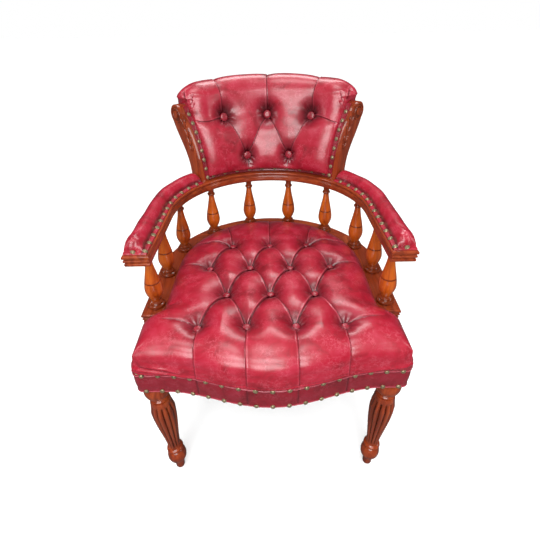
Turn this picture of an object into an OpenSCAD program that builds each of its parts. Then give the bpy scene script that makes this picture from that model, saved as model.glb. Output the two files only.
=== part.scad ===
// Captain's armchair: a serpentine buttoned leather seat on two turned, reeded front legs and two
// sabre rear legs, a horseshoe gallery of ten turned spindles under a padded arm bow, and a
// concave buttoned back between two scrolled posts.
// The drawing is made about the centre of the horseshoe and then moved so that the chair stands
// centred on the origin. The sitter faces -Y.

/* [Seat frame] */
// Height of the underside of the seat frame
leg_h = 344; // [320:1:370]
// Width across the leather band of the seat
seat_w = 554; // [540:2:558]
// From the horseshoe's centre to the flat parts of the seat front
seat_front = 289; // [278:1:310]
// How far the middle of the seat front swells forwards
front_swell = 41; // [20:1:55]
// Half the width of that swell
swell_half = 225; // [200:1:240]
// Radius of the seat's front corners
seat_corner = 14; // [8:1:20]
// Thickness of the seat rails
rail_t = 26; // [22:1:30]
// Height of the rails under the seat board
rail_h = 45; // [40:1:55]
// Thickness of the plywood seat board
board_t = 9; // [6:1:12]
// Height of the rebated lip of the side and back rails above the board
lip_h = 22; // [15:1:30]
// Thickness of that lip
lip_t = 17; // [12:1:20]
// Thickness of the leather
leather_t = 2; // [1.5:0.1:2.5]

/* [Legs] */
// Distance of each front leg's axis in from the frame's side
leg_inset = 27.5; // [25:0.5:30]
// Depth of the square block at the top of a front leg
leg_block = 50; // [44:1:54]
// Diameter of the cushion turning under the frame
leg_ball_d = 54; // [48:1:56]
// Greatest diameter of the reeded part
reed_d = 56; // [48:1:58]
// Number of reeds round a front leg
reeds = 12; // [10:1:14]
// Depth of the grooves between the reeds
reed_depth = 2.6; // [1:0.1:3.5]
// Diameter of the bulb above the foot
bulb_d = 49; // [40:1:54]
// Diameter of the peg foot
foot_d = 22; // [18:1:30]
// Angle of the rear legs round the horseshoe, from the chair's side
rear_leg_angle = 50; // [42:1:58]
// Thickness of a rear leg where it meets the frame
rear_leg_t = 36; // [30:1:42]
// Thickness of a rear leg at the floor
rear_foot_t = 27; // [22:1:30]
// How far the rear feet are swept out from the frame
rear_sweep = 46; // [20:1:60]

/* [Gallery] */
// How far the lower bow stands out beyond the seat's band
base_overhang = 4.5; // [2:0.5:8]
// Width of the lower bow
base_w = 53.5; // [50:0.5:56]
// Thickness of the lower bow
base_t = 25; // [20:1:30]
// Length of the lower bow's straight arms
base_straight = 168; // [160:1:180]
// How far the arm bow's outer edge lies inside the lower bow's
arm_inset = 9.5; // [5:0.5:14]
// Width of the arm bow
arm_w = 48.5; // [46:0.5:52]
// Thickness of the arm bow
arm_t = 22.5; // [18:0.5:26]
// Length of the arm bow's straight arms
arm_straight = 194; // [185:1:205]
// Height of the spindles between the bows
spindle_h = 147; // [130:1:160]
// Greatest diameter of a spindle
spindle_d = 38; // [30:1:42]
// Distance of the first spindle behind the front of the lower bow
spindle_end = 34.5; // [28:0.5:44]
// Diameter of the spindle tenons
tenon_d = 14; // [10:1:16]
// Length of the spindle tenons
tenon_l = 14; // [10:1:16]
// Where the bows are jointed, as an angle from the chair's side
bow_joint = 36; // [32:1:38]

/* [Back] */
// Angle of the back posts from the chair's side
post_angle = 44.5; // [43:0.5:46]
// Thickness of a back post
post_t = 24; // [20:1:28]
// Depth of a back post where it stands on the arm bow
post_foot = 41; // [36:1:42]
// Height of the scroll's centre above the arm bow
scroll_h = 158.5; // [140:0.5:165]
// How far the scroll's centre lies behind the post's front edge at the foot
scroll_lean = 73; // [60:1:85]
// Radius of the scroll
scroll_r = 22.5; // [20:0.5:27]
// Height of the leather roll above the scroll's centre
roll_rise = 75; // [65:1:90]
// How far the leather swells in front of the posts
back_crown = 25; // [15:1:32]

/* [Upholstery] */
// Height of the seat's crown above its leather band
seat_crown = 80; // [70:1:90]
// Spacing of the buttons across the seat
button_pitch = 98; // [90:1:104]
// Distance from one row of the seat's buttons to the next
row_pitch = 102; // [90:1:106]
// Distance of the front row of buttons behind the flat parts of the seat front
button_front = 60; // [55:1:80]
// Depth of the pleats between the buttons
pleat = 10; // [4:1:12]
// Further depth of the buttons themselves
dimple = 13; // [4:1:16]
// Diameter of a button
button_d = 15; // [11:1:18]
// Height of the arm pads above the wood
pad_h = 27; // [18:1:32]
// Diameter of a brass nail head
nail_d = 9.5; // [7:0.5:11]
// Spacing of the nails along the seat
nail_pitch = 32; // [28:1:36]
// Spacing of the nails along the arms and the back
small_pitch = 30; // [26:1:34]

/* [Hidden] */

fit = 0.1;          // clearance round a dowel, tenon or screw
gap = 0.3;          // clearance of soft pieces and nail heads from what carries them
small = 0.01;       // overlap that makes two cutters meet

// Heights
frame_z = leg_h;
board_z = frame_z + rail_h;
band_z = board_z + board_t;
lip_z = band_z + lip_h;
base_z = lip_z + base_t;
arm_z = base_z + spindle_h;
top_z = arm_z + arm_t;
scroll_z = top_z + scroll_h;

// Radii about the horseshoe's centre
half_w = seat_w / 2;
rail_r = half_w - leather_t;
base_r = half_w + base_overhang;
arm_r = base_r - arm_inset;
base_in = base_r - base_w;
arm_in = arm_r - arm_w;
base_mid = base_r - base_w / 2;
arm_mid = arm_r - arm_w / 2;
spindle_count = 10;
spindle_pitch = (PI * base_mid + 2 * (base_straight - spindle_end)) / (spindle_count - 1);
post_r = arm_r - post_foot + 1;
scroll_rad = post_r + scroll_lean;

// Front leg block
block_x = rail_r;
leg_x = block_x - leg_inset;
block_y = seat_front - leather_t;
leg_y = -block_y + leg_block / 2;

// Chair's reach from the horseshoe's centre to the front and to the back
nail_h = nail_d * 0.3;
roll_back = 6;
front_reach = seat_front + front_swell + gap + nail_h;
back_reach = scroll_rad + scroll_r + roll_back;
centre_y = (front_reach - back_reach) / 2;

wood = [0.48, 0.17, 0.07];
amber = [0.62, 0.27, 0.09];
raw = [0.78, 0.62, 0.42];
hide = [0.62, 0.07, 0.14];
brass = [0.62, 0.53, 0.30];
steel = [0.6, 0.6, 0.62];
cloth = [0.08, 0.08, 0.09];

function lerp(a, b, t) = a + (b - a) * t;
function clamp(v, low, high) = max(low, min(high, v));
function smooth(t) = let(c = clamp(t, 0, 1)) c * c * (3 - 2 * c);
function dome(t) = let(c = clamp(t, 0, 1)) sqrt(1 - (1 - c) * (1 - c));
function polar(r, a) = [r * cos(a), r * sin(a)];
function bezier(p, t) = let(s = 1 - t)
  s * s * s * p[0] + 3 * s * s * t * p[1] + 3 * s * t * t * p[2] + t * t * t * p[3];
function bezier_points(p, n) = [for (i = [0 : n]) bezier(p, i / n)];

// Everything is drawn about the horseshoe's centre and moved here
module placed() {
  translate([0, centre_y, 0]) children();
}

// side is -1 for the left, +1 for the right as seen from the front
module on_side(side) {
  if (side < 0) mirror([1, 0, 0]) children();
  else children();
}

// Moves to a point of the horseshoe path of radius r: s runs from the middle of the back, and
// local +X points outwards
module along(r, s) {
  quarter = r * PI / 2;
  turn = s / r * 180 / PI;
  side = s < 0 ? -1 : 1;
  if (abs(s) < quarter) rotate([0, 0, 90 - turn]) translate([r, 0, 0]) children();
  else translate([side * r, quarter - abs(s), 0]) rotate([0, 0, side < 0 ? 180 : 0]) children();
}

// Screw with a countersunk head, its head's face at z = 0, pointing down
module screw(d, l) {
  rotate_extrude($fn = 24) polygon([[0, 0], [d, 0], [d / 2, -d / 2], [d / 2, -l + d], [0, -l]]);
}

module screw_hole(d, l) {
  translate([0, 0, small]) screw(d + 2 * fit, l + fit);
}

// Domed nail head standing on z = 0
module nail_head() {
  r = nail_d / 2;
  rotate_extrude($fn = 24)
    polygon([[0, 0], [r, 0], [r * 0.95, nail_h * 0.35], [r * 0.72, nail_h * 0.75],
      [r * 0.38, nail_h * 0.95], [0, nail_h]]);
}

// Nail head on an upright face: local +X is the face's outward direction
module face_nail() {
  translate([gap, 0, 0]) rotate([0, 90, 0]) nail_head();
}

// Plan of the seat frame

function swell(x) = let(a = min(1, abs(x) / swell_half)) pow(cos(90 * a), 2);
function front_y(x) = -seat_front - front_swell * swell(x);
function front_slope(x) = atan2(front_y(x + 1) - front_y(x - 1), 2);

// Right half of the outline from the middle of the front to the start of the round back
function half_outline(inset, steps) = let(
  w = half_w - inset,
  r = max(1, seat_corner - inset),
  run = w - r)
  concat(
    [for (i = [0 : steps - 1]) let(x = run * i / steps) [x, front_y(x) + inset]],
    [for (a = [-90 : 22.5 : 0]) [w - r, -seat_front + inset + r] + polar(r, a)],
    [[w, 0]]);

function mirrored(points) = concat(points, [for (i = [len(points) - 1 : -1 : 1])
  [-points[i][0], points[i][1]]]);

module frame_plate(inset, height, steps = 24) {
  linear_extrude(height) {
    polygon(mirrored(half_outline(inset, steps)));
    circle(r = half_w - inset, $fn = 96);
  }
}

module front_leg(side) {
  color(wood) placed() on_side(side) difference() {
    union() {
      leg_turning();
      leg_block_shape();
    }
    dowel_bores();
  }
}

// Block at the head of a front leg, flush with the rails
module leg_block_shape() {
  r = seat_corner - leather_t;
  x0 = leg_x - leg_inset;
  translate([0, 0, frame_z]) linear_extrude(rail_h) difference() {
    translate([x0, -block_y]) square([block_x - x0, leg_block]);
    translate([block_x - r, -block_y]) difference() {
      translate([0, -1]) square([r + 1, r + 1]);
      translate([0, r]) circle(r, $fn = 48);
    }
  }
}

// Turned leg below the block: cushion turning, reeded baluster, ring, bulb and peg foot
reed_top = 295;
reed_low = 100;
module leg_turning() {
  k = leg_h / 344;
  translate([leg_x, leg_y, 0]) {
    rotate_extrude($fn = 64) polygon(concat(
      [[0, 0], [foot_d / 2 - 1, 0], [foot_d / 2, 2], [foot_d / 2 + 1, 26 * k]],
      [for (a = [-60 : 20 : 60]) [0, 58 * k] + [bulb_d / 2 * pow(cos(a), 0.7), 30 * k * sin(a)]],
      [[14, 86 * k], [18, 90 * k], [19.5, 93 * k], [18, 97 * k], [14.5, 100 * k],
        [0, 100 * k]]));
    rotate_extrude($fn = 64) polygon(concat(
      [[0, (reed_top - 1) * k], [18, (reed_top - 1) * k], [20, (reed_top + 3) * k],
        [20, (reed_top + 6) * k]],
      [for (a = [-50 : 12.5 : 25])
        [leg_ball_d / 2 * cos(a), (reed_top + 31) * k + 26 * k * sin(a)]],
      [[leg_ball_d / 2 - 4, leg_h + 1], [0, leg_h + 1]]));
    reeded_part(k);
  }
}

function reed_radius(t) = // t runs from the ring up to the cushion turning
  lerp(14.5, reed_d / 2, pow(smooth(t / 0.8), 0.85)) - (t > 0.8 ? (t - 0.8) * 32 : 0);

module reeded_part(k) {
  rings = 15;
  sides = reeds * 4;
  ring_points = [for (j = [0 : rings], i = [0 : sides - 1]) let(
    t = j / rings,
    cut = reed_depth * (t < 0.05 || t > 0.97 ? 0 : 1) * reed_cut(i % 4),
    r = reed_radius(t) - cut)
    [each polar(r, 360 * i / sides), lerp(reed_low - 1, reed_top, t) * k]];
  quads = [for (j = [0 : rings - 1], i = [0 : sides - 1]) let(
    a = j * sides + i,
    b = j * sides + (i + 1) % sides)
    each [[a, a + sides, b + sides], [a, b + sides, b]]];
  ends = [for (i = [1 : sides - 2]) each [[0, i, i + 1],
    [rings * sides, rings * sides + i + 1, rings * sides + i]]];
  polyhedron(ring_points, concat(quads, ends));
}
function reed_cut(i) = i == 0 ? 1 : i == 2 ? 0 : 0.3;

// Rear legs stand in a radial plane: local X runs outwards from the horseshoe's centre
module at_rear_leg() {
  rotate([0, 0, rear_leg_angle]) children();
}

rear_in = rail_r - rail_t;
rear_leg_w = 42;     // width of the leg's head inside the rail
rear_foot_w = 32;
rear_shoulder = 8;   // how far the leg reaches under the rail
rear_screw_d = 5;
rear_screw_l = rear_leg_w + rail_t * 0.62;
rear_screw_z = [frame_z + 12, frame_z + 32];

module rear_leg(side) {
  foot = rear_in + rear_sweep;
  head = rear_in - rear_leg_w;
  taper = atan((rear_leg_t - rear_foot_t) / 2 / leg_h);
  outer = [[rear_in + rear_shoulder, leg_h], [rear_in + 6, leg_h * 0.6],
    [foot - rear_foot_w * 0.56, leg_h * 0.35], [foot + rear_foot_w / 2, 0]];
  inner = [[foot - rear_foot_w / 2, 0], [foot - rear_foot_w * 1.44, leg_h * 0.35],
    [head, leg_h * 0.62], [head, leg_h]];
  stub = [[head, leg_h + rail_h - 2], [rear_in - fit, leg_h + rail_h - 2], [rear_in - fit, leg_h]];
  color(wood) placed() on_side(side) at_rear_leg() difference() {
    translate([0, rear_leg_t / 2, 0]) rotate([90, 0, 0]) linear_extrude(rear_leg_t)
      polygon(concat(bezier_points(outer, 14), bezier_points(inner, 14), stub));
    at_leg_screws() screw_hole(rear_screw_d, rear_screw_l);
    for (y = [-1, 1]) translate([0, y * (rear_leg_t / 2 + 8), leg_h]) rotate([-y * taper, 0, 0])
      cube([1000, 16, leg_h * 2.2], center = true);
  }
}

module at_leg_screws() {
  for (z = rear_screw_z) translate([rear_in - rear_leg_w, 0, z]) rotate([0, -90, 0]) children();
}

module leg_screws() {
  color(steel) placed() for (side = [-1, 1]) on_side(side) at_rear_leg() at_leg_screws()
    screw(rear_screw_d, rear_screw_l);
}

// Seat rails

dowel_d = 10;
dowel_l = 50;
front_span = 2 * leg_x - block_x;

module front_rail() {
  color(raw) placed() difference() {
    intersection() {
      translate([0, 0, frame_z]) difference() {
        frame_plate(leather_t, rail_h, 36);
        translate([0, 0, -1]) linear_extrude(rail_h + 2)
          polygon(mirrored(inner_front()));
      }
      translate([-front_span, -seat_front - front_swell - 1, 0])
        cube([2 * front_span, front_swell + leather_t + rail_t + 2, 1000]);
    }
    for (side = [-1, 1]) on_side(side) dowel_bores();
    board_screw_holes();
  }
}
function inner_front() = concat(
  [for (x = [0 : 10 : 260]) [x, front_y(x) + leather_t + rail_t]], [[260, 0]]);

// Dowels between a front leg's block and its two rails
module at_frame_dowels() {
  for (z = [frame_z + 13, frame_z + 32]) {
    translate([front_span, -block_y + rail_t / 2, z]) rotate([0, 90, 0]) children();
    translate([block_x - rail_t / 2, -block_y + leg_block, z + 6]) rotate([90, 0, 0]) children();
  }
}

module dowel_bores() {
  at_frame_dowels() cylinder(d = dowel_d + 2 * fit, h = dowel_l + 2 * fit, center = true, $fn = 32);
}

module frame_dowels() {
  color(raw) placed() for (side = [-1, 1]) on_side(side) at_frame_dowels()
    cylinder(d = dowel_d, h = dowel_l, center = true, $fn = 32);
}

// Section of the side and back rails: full thickness under the board, a lip outside it
module rail_section(with_lip) {
  translate([rail_r - rail_t, frame_z]) square([rail_t, rail_h]);
  if (with_lip) translate([rail_r - lip_t, frame_z]) square([lip_t, lip_z - frame_z]);
}

side_start = -block_y + leg_block;
module side_rail(side) {
  color(raw) placed() on_side(side) difference() {
    union() {
      rotate([90, 0, 0]) linear_extrude(-side_start) rail_section(false);
      rotate([90, 0, 0]) linear_extrude(base_straight) rail_section(true);
    }
    dowel_bores();
    base_dowel_bores();
    board_screw_holes();
    block_screw_holes();
  }
}

module back_rail() {
  color(raw) placed() difference() {
    rotate_extrude(angle = 180, $fn = 96) rail_section(true);
    for (side = [-1, 1]) on_side(side) {
      base_dowel_bores();
      at_rear_leg() at_leg_screws() screw_hole(rear_screw_d, rear_screw_l);
    }
    board_screw_holes();
  }
}

// Triangular blocks glued and screwed behind the front legs
block_leg = 60;
module at_corner_block() {
  translate([rear_in, side_start, frame_z + 4]) children();
}

module corner_blocks() {
  color(raw) placed() for (side = [-1, 1]) on_side(side) difference() {
    at_corner_block() linear_extrude(rail_h - 8)
      polygon([[0, 0], [0, block_leg], [-16, block_leg], [-block_leg, 16 - rail_t],
        [-block_leg, front_gap()], [front_span - rear_in, front_gap()], [front_span - rear_in, 0]]);
    block_screw_holes();
  }
}
function front_gap() = front_y(front_span - 8) + leather_t + rail_t - side_start + gap;

module at_block_screws() {
  for (z = [frame_z + 14, frame_z + 31])
    translate([rear_in - 16, side_start + 44, z]) rotate([0, -90, 0]) children();
}

module block_screw_holes() {
  at_block_screws() screw_hole(4.5, 36);
}

module block_screws() {
  color(steel) placed() for (side = [-1, 1]) on_side(side) at_block_screws() screw(4.5, 36);
}

// Seat board

board_r = rail_r - lip_t - 0.5;
vent_d = 20;        // air holes
vent_pitch = 62;
module seat_board() {
  color(raw) placed() difference() {
    intersection() {
      translate([0, 0, board_z]) frame_plate(leather_t, board_t, 36);
      union() {
        translate([0, -base_straight - gap - 500, 0]) cube([1000, 1000, 2000], center = true);
        cylinder(r = board_r, h = 1000, $fn = 96);
        translate([-board_r, -base_straight - 1, 0]) cube([2 * board_r, base_straight + 1, 1000]);
      }
    }
    for (i = [-2 : 2], j = [-2 : 1]) translate([i * vent_pitch, (j + 0.25) * vent_pitch * 1.25, 0])
      cylinder(d = vent_d, h = 1000, $fn = 32);
    board_screw_holes();
  }
}

module at_board_screws() {
  for (i = [-1.5 : 1.5]) let(x = i * front_span * 0.54)
    translate([x, front_y(x) + leather_t + rail_t / 2, band_z]) children();
  for (side = [-1, 1], t = [0.24, 0.77])
    translate([side * (board_r - 4), -t * base_straight, band_z]) children();
  for (a = [65, 115]) translate([each polar(board_r - 4, a), band_z]) children();
}

module board_screw_holes() {
  at_board_screws() screw_hole(4, 30);
}

module board_screws() {
  color(steel) placed() at_board_screws() screw(4, 30);
}

// Leather band round the frame: low in front of the bow's ends, up to the bow behind them
module seat_band() {
  color(hide) placed() difference() {
    union() {
      translate([0, 0, frame_z]) frame_plate(0, band_z - frame_z, 36);
      intersection() {
        translate([0, 0, frame_z]) frame_plate(0, lip_z - frame_z, 36);
        translate([-500, -base_straight, 0]) cube([1000, 1000, 1000]);
      }
    }
    translate([0, 0, frame_z - 1]) frame_plate(leather_t, 200, 36);
  }
}

nail_rise = 5;      // of the lower row above the frame's underside
nail_drop = 1;      // of the upper row under the band's top
front_nails = floor(half_w / nail_pitch);
module front_nail_row(z) {
  for (i = [-front_nails : front_nails]) let(x = i * nail_pitch)
    translate([x, front_y(x), z]) rotate([0, 0, front_slope(x) - 90]) face_nail();
}

module side_nail_row(z, last_y) {
  first_y = -seat_front + seat_corner + nail_pitch / 2;
  count = floor((last_y - first_y) / nail_pitch);
  for (side = [-1, 1]) on_side(side) for (i = [0 : count])
    translate([half_w, first_y + i * nail_pitch, z]) face_nail();
}

module seat_nails_upper() {
  color(brass) placed() {
    front_nail_row(band_z - nail_drop);
    side_nail_row(band_z - nail_drop, -base_straight - nail_pitch / 3);
  }
}

module seat_nails_lower() {
  back_count = round(half_w * PI / nail_pitch);
  color(brass) placed() {
    front_nail_row(frame_z + nail_rise);
    side_nail_row(frame_z + nail_rise, -nail_pitch / 2);
    for (i = [0 : back_count]) rotate([0, 0, 180 * i / back_count])
      translate([half_w, 0, frame_z + nail_rise]) face_nail();
  }
}

// Black cloth tacked under the frame
module dust_cover() {
  color(cloth) placed() difference() {
    translate([0, 0, frame_z - gap - 0.8]) frame_plate(12, 0.8);
    for (side = [-1, 1]) on_side(side) {
      translate([leg_x, leg_y, 0]) cylinder(d = leg_ball_d + 6, h = 1000, $fn = 48);
      at_rear_leg() translate([rear_in - 17, 0, 0])
        cube([60, rear_leg_t + 4, 2000], center = true);
    }
  }
}

// Buttoned leather seen as a lattice: u counts half pitches across, t counts rows.
// The result is 0 on a pleat and 1 in the middle of a puff.
function puff(u, t, rows, reach) = let(
  tc = clamp(t, 0, rows),
  uc = min(abs(u), reach),
  f = abs(cos(90 * (uc + tc)) * cos(90 * (uc - tc))))
  pow(f, 0.45);

// Seat cushion: a net of points over the seat, with a skirt down to the seat board

in_cells = 12;      // cells from the middle to the outer buttons
out_cells = 5;      // cells from the outer buttons to the edge
front_cells = 4;
row_cells = 4;      // cells from one row of buttons to the next
back_cells = 5;
button_rows = 4;
net_w = 2 * (in_cells + out_cells);
net_h = front_cells + row_cells * (button_rows - 1) + back_cells;
row_one = -seat_front + button_front;
row_last = row_one + row_pitch * (button_rows - 1);
button_out = 1.5 * button_pitch;
hug_r = base_in - 0.6;
over_r = base_in + 2.5;
wide = half_w - 8;     // half width of the cushion above its skirt
skirt_flare = 10;      // how far the skirt spreads over the band
corner_cut = 6;

function cushion_half(y) = y > 0 ? sqrt(over_r * over_r - y * y)
  : lerp(wide, over_r, smooth((y + base_straight + 30) / 58));
function cushion_front(x) = front_y(x) - 2 + 4 * (1 - puff(x * 2 / button_pitch, 0, 3, 4));
function rear_y(x) = sqrt(over_r * over_r - x * x);

function coons(a, b, c, d, p00, p10, p01, p11, s, t) =
  (1 - s) * a + s * b + (1 - t) * c + t * d
  - (1 - s) * (1 - t) * p00 - s * (1 - t) * p10 - (1 - s) * t * p01 - s * t * p11;

function front_patch(x_in, s, t) = let(
  tip = [wide - corner_cut, -seat_front - 2 + corner_cut],
  fx = lerp(button_out, tip[0], s),
  inner = [button_out, lerp(row_one, cushion_front(button_out), t)],
  outer = [wide - corner_cut * pow(t, 6), lerp(row_one, tip[1], t)],
  low = [lerp(button_out, wide, s), row_one],
  high = [fx, cushion_front(fx) + corner_cut * pow(s, 6)])
  s == 0 ? [x_in, lerp(row_one, cushion_front(x_in), t)]
  : coons(inner, outer, low, high, [button_out, row_one], [wide, row_one],
      [button_out, cushion_front(button_out)], tip, s, t);

function rear_patch(x_in, s, t) = let(
  a0 = asin(row_last / over_r),
  a1 = acos(button_out / over_r),
  am = (a0 + a1) / 2,
  inner = [button_out, lerp(row_last, rear_y(button_out), t)],
  outer = polar(over_r, lerp(a0, am, t)),
  low = [lerp(button_out, cushion_half(row_last), s), row_last],
  high = polar(over_r, lerp(a1, am, s)))
  s == 0 ? [x_in, lerp(row_last, rear_y(x_in), t)]
  : coons(inner, outer, low, high, [button_out, row_last], polar(over_r, a0),
      polar(over_r, a1), polar(over_r, am), s, t);

function seat_xy(i, j) = let(
  c = abs(i - net_w / 2),
  side = i < net_w / 2 ? -1 : 1,
  x_in = min(c, in_cells) / in_cells * button_out,
  s = max(0, c - in_cells) / out_cells,
  y = row_one + (j - front_cells) * row_pitch / row_cells,
  p = j < front_cells ? front_patch(x_in, s, (front_cells - j) / front_cells)
    : j > net_h - back_cells ? rear_patch(x_in, s, (j - net_h + back_cells) / back_cells)
    : [lerp(x_in, cushion_half(y), s), y])
  [side * p[0], p[1]];

function on_edge(i, j) = i == 0 || j == 0 || i == net_w || j == net_h;
function edge_z(y) = lerp(band_z + 42, base_z + 2.5, smooth((y + base_straight + 30) / 40));
function edge_run(p, i, j) = on_edge(i, j) ? 0 : max(0, min(
  cushion_half(p[1]) - abs(p[0]),
  p[1] - cushion_front(p[0]),
  p[1] > 0 ? over_r - norm(p) : 1000));
function seat_limit(t) = 3 + smooth(1 - t / 0.5);
function button_xy() = [for (row = [0 : button_rows - 1])
  for (k = row % 2 == 0 ? [-1.5 : 1 : 1.5] : [-1 : 1 : 1])
    [k * button_pitch, row_one + row * row_pitch]];
function near_button(p, spots) = max([for (b = spots) exp(-pow(norm(p - b) / 22, 2))]);

spots = button_xy();
function seat_z(p, i, j) = let(
  t = (p[1] - row_one) / row_pitch,
  run = edge_run(p, i, j),
  q = smooth(run / 40),
  f = puff(2 * p[0] / button_pitch, t, button_rows - 1, seat_limit(t)))
  lerp(edge_z(p[1]), band_z + seat_crown, dome(run / 80))
  - q * (pleat * (1 - f) + dimple * near_button(p, spots));

function net_ring(w, h) = concat(
  [for (i = [0 : w]) [i, 0]],
  [for (j = [1 : h]) [w, j]],
  [for (i = [w - 1 : -1 : 0]) [i, h]],
  [for (j = [h - 1 : -1 : 1]) [0, j]]);

// Where a point of the upper edge comes down: outside the rails in front of the bow's ends,
// inside the bow behind them
bow_end_y = -base_straight - 1;
function skirt_xy(i, j, inset, flare) = let(
  p = seat_xy(i, j),
  is_side = (i == 0 || i == net_w),
  ahead = seat_xy(i, min(net_h, j + 1))[1] > bow_end_y,
  behind = seat_xy(i, max(0, j - 1))[1] <= bow_end_y,
  side = p[0] < 0 ? -1 : 1)
  j == 0 ? [p[0] * (1 + (flare - inset) / wide), inset < 0 ? p[1] + inset
    : max(front_y(p[0]) + inset - 2, p[1] + inset - 4)]
  : is_side && p[1] <= bow_end_y ? [side * (wide + flare - inset), ahead ? bow_end_y : p[1]]
  : is_side && p[1] < 0 ? [side * hug_r, behind ? bow_end_y : p[1]]
  : hug_r / norm(p) * p;

module seat_cushion() {
  ring = net_ring(net_w, net_h);
  n = len(ring);
  top = [for (j = [0 : net_h], i = [0 : net_w]) let(p = seat_xy(i, j))
    [p[0], p[1], seat_z(p, i, j)]];
  mid = [for (k = [0 : n - 1]) let(p = seat_xy(ring[k][0], ring[k][1]))
    [each skirt_xy(ring[k][0], ring[k][1], -0.5, skirt_flare / 2),
      lerp(band_z + 22, base_z + gap + 0.2, smooth((p[1] - bow_end_y + 1) / 2))]];
  low = [for (k = [0 : n - 1]) [each skirt_xy(ring[k][0], ring[k][1], 3, skirt_flare), band_z + gap]];
  m = len(top);
  function at(i, j) = j * (net_w + 1) + i;
  top_faces = [for (j = [0 : net_h - 1], i = [0 : net_w - 1]) let(
    a = at(i, j), b = at(i + 1, j), c = at(i + 1, j + 1), d = at(i, j + 1),
    u = i - net_w / 2 - row_cells,
    v = j - front_cells,
    rising = (u - v + 800) % (2 * row_cells) == 0)
    each rising ? [[a, c, b], [a, d, c]] : [[a, d, b], [b, d, c]]];
  side_faces = [for (k = [0 : n - 1]) let(
    kn = (k + 1) % n,
    a = at(ring[k][0], ring[k][1]),
    b = at(ring[kn][0], ring[kn][1]))
    each [[a, b, m + kn], [a, m + kn, m + k],
      [m + k, m + kn, m + n + kn], [m + k, m + n + kn, m + n + k]]];
  base_faces = [for (k = [0 : n - 1]) [m + n + k, m + n + (k + 1) % n, m + 2 * n]];
  color(hide) placed() polyhedron(
    concat(top, mid, low, [[0, bow_end_y - 25, band_z + gap]]),
    concat(top_faces, side_faces, base_faces));
}

// A covered button, its point at z = 0
module button(slope) {
  r = button_d / 2;
  rotate_extrude($fn = 24) polygon([[0, 0], [r, r * slope], [r, r * slope + 1.2],
    [r * 0.8, r * slope + 2.8], [r * 0.4, r * slope + 3.8], [0, r * slope + 4.2]]);
}

module seat_buttons() {
  button_z = band_z + seat_crown - pleat - dimple + gap;
  color(hide) placed() for (p = spots) let(sink = seat_crown_loss(p))
    translate([p[0], p[1], button_z - sink]) button(0.75);
}
// What the rounding of the seat's edge takes off the crown at a button
function seat_crown_loss(p) = let(run = edge_run(p, 1, 1))
  (band_z + seat_crown - edge_z(p[1])) * (1 - dome(run / 80));

// Lower bow: its outer edge and its front ends are moulded

function bow_profile(w, t, moulded_in) = concat(
  moulded_in ? [[1.5, 0], [0, t * 0.1], [0, t * 0.25], [2.6, t * 0.42], [2.6, t * 0.52],
    [1, t * 0.62], [0.6, t * 0.8], [2, t]] : [[0, 0], [0, t]],
  [[w - 1, t], [w, t * 0.9], [w, t * 0.7], [w - 2.4, t * 0.58], [w - 2.4, t * 0.44],
    [w - 0.8, t * 0.36], [w - 0.8, t * 0.2], [w - 2.6, t * 0.08], [w - 2.6, 0]]);

module bow_side(r_in, w, t, straight, z, moulded_in) {
  difference() {
    translate([0, 0, z]) union() {
      rotate([90, 0, 0]) linear_extrude(straight) translate([r_in, 0])
        polygon(bow_profile(w, t, moulded_in));
      rotate_extrude(angle = bow_joint, $fn = 96) translate([r_in, 0])
        polygon(bow_profile(w, t, moulded_in));
    }
    translate([r_in - 1, -straight - 1, z + t * 0.44]) cube([w + 2, 3.2, t * 0.14]);
    translate([r_in - 1, -straight - 1, z - 1]) cube([w + 2, 3.4, t * 0.08 + 1]);
  }
}

module bow_back(r_in, w, t, z, moulded_in) {
  rotate([0, 0, bow_joint]) translate([0, 0, z])
    rotate_extrude(angle = 180 - 2 * bow_joint, $fn = 96) translate([r_in, 0])
      polygon(bow_profile(w, t, moulded_in));
}

module base_bow_side(side) {
  color(wood) placed() difference() {
    on_side(side) bow_side(base_in, base_w, base_t, base_straight, lip_z, false);
    spindle_bores();
    on_side(side) {
      base_dowel_bores();
      bow_dowel_bores();
    }
  }
}

module base_bow_back() {
  color(wood) placed() difference() {
    bow_back(base_in, base_w, base_t, lip_z, false);
    spindle_bores();
    for (side = [-1, 1]) on_side(side) {
      base_dowel_bores();
      bow_dowel_bores();
    }
  }
}

module arm_bow_side(side) {
  color(wood) placed() difference() {
    on_side(side) bow_side(arm_in, arm_w, arm_t, arm_straight, arm_z, true);
    spindle_bores();
    on_side(side) bow_dowel_bores();
  }
}

module arm_bow_back() {
  color(wood) placed() difference() {
    bow_back(arm_in, arm_w, arm_t, arm_z, true);
    spindle_bores();
    for (side = [-1, 1]) on_side(side) {
      bow_dowel_bores();
      post_screw_holes();
    }
  }
}

// Dowels that hold the lower bow on the rails' lip
peg_d = 8;
peg_l = 24;
peg_places = [-4.65, -4, -3, -2.25, -1];   // in spindle spacings from the middle of the back
module at_base_dowels() {
  for (place = peg_places) along(base_mid, -place * spindle_pitch)
    translate([rail_r - lip_t / 2 - base_mid, 0, lip_z]) children();
}

module base_dowel_bores() {
  at_base_dowels() cylinder(d = peg_d + 2 * fit, h = peg_l + 2 * fit, center = true, $fn = 32);
}

module base_dowels() {
  color(raw) placed() for (side = [-1, 1]) on_side(side) at_base_dowels()
    cylinder(d = peg_d, h = peg_l, center = true, $fn = 32);
}

// Dowels across the joints of both bows
module at_bow_dowels() {
  rotate([0, 0, bow_joint]) for (x = [-9, 9]) {
    translate([base_mid + x, 0, lip_z + base_t / 2]) rotate([90, 0, 0]) children();
    translate([arm_mid + x, 0, arm_z + arm_t / 2]) rotate([90, 0, 0]) children();
  }
}

module bow_dowel_bores() {
  at_bow_dowels() cylinder(d = peg_d + 2 * fit, h = peg_l + 2 * fit, center = true, $fn = 32);
}

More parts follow.
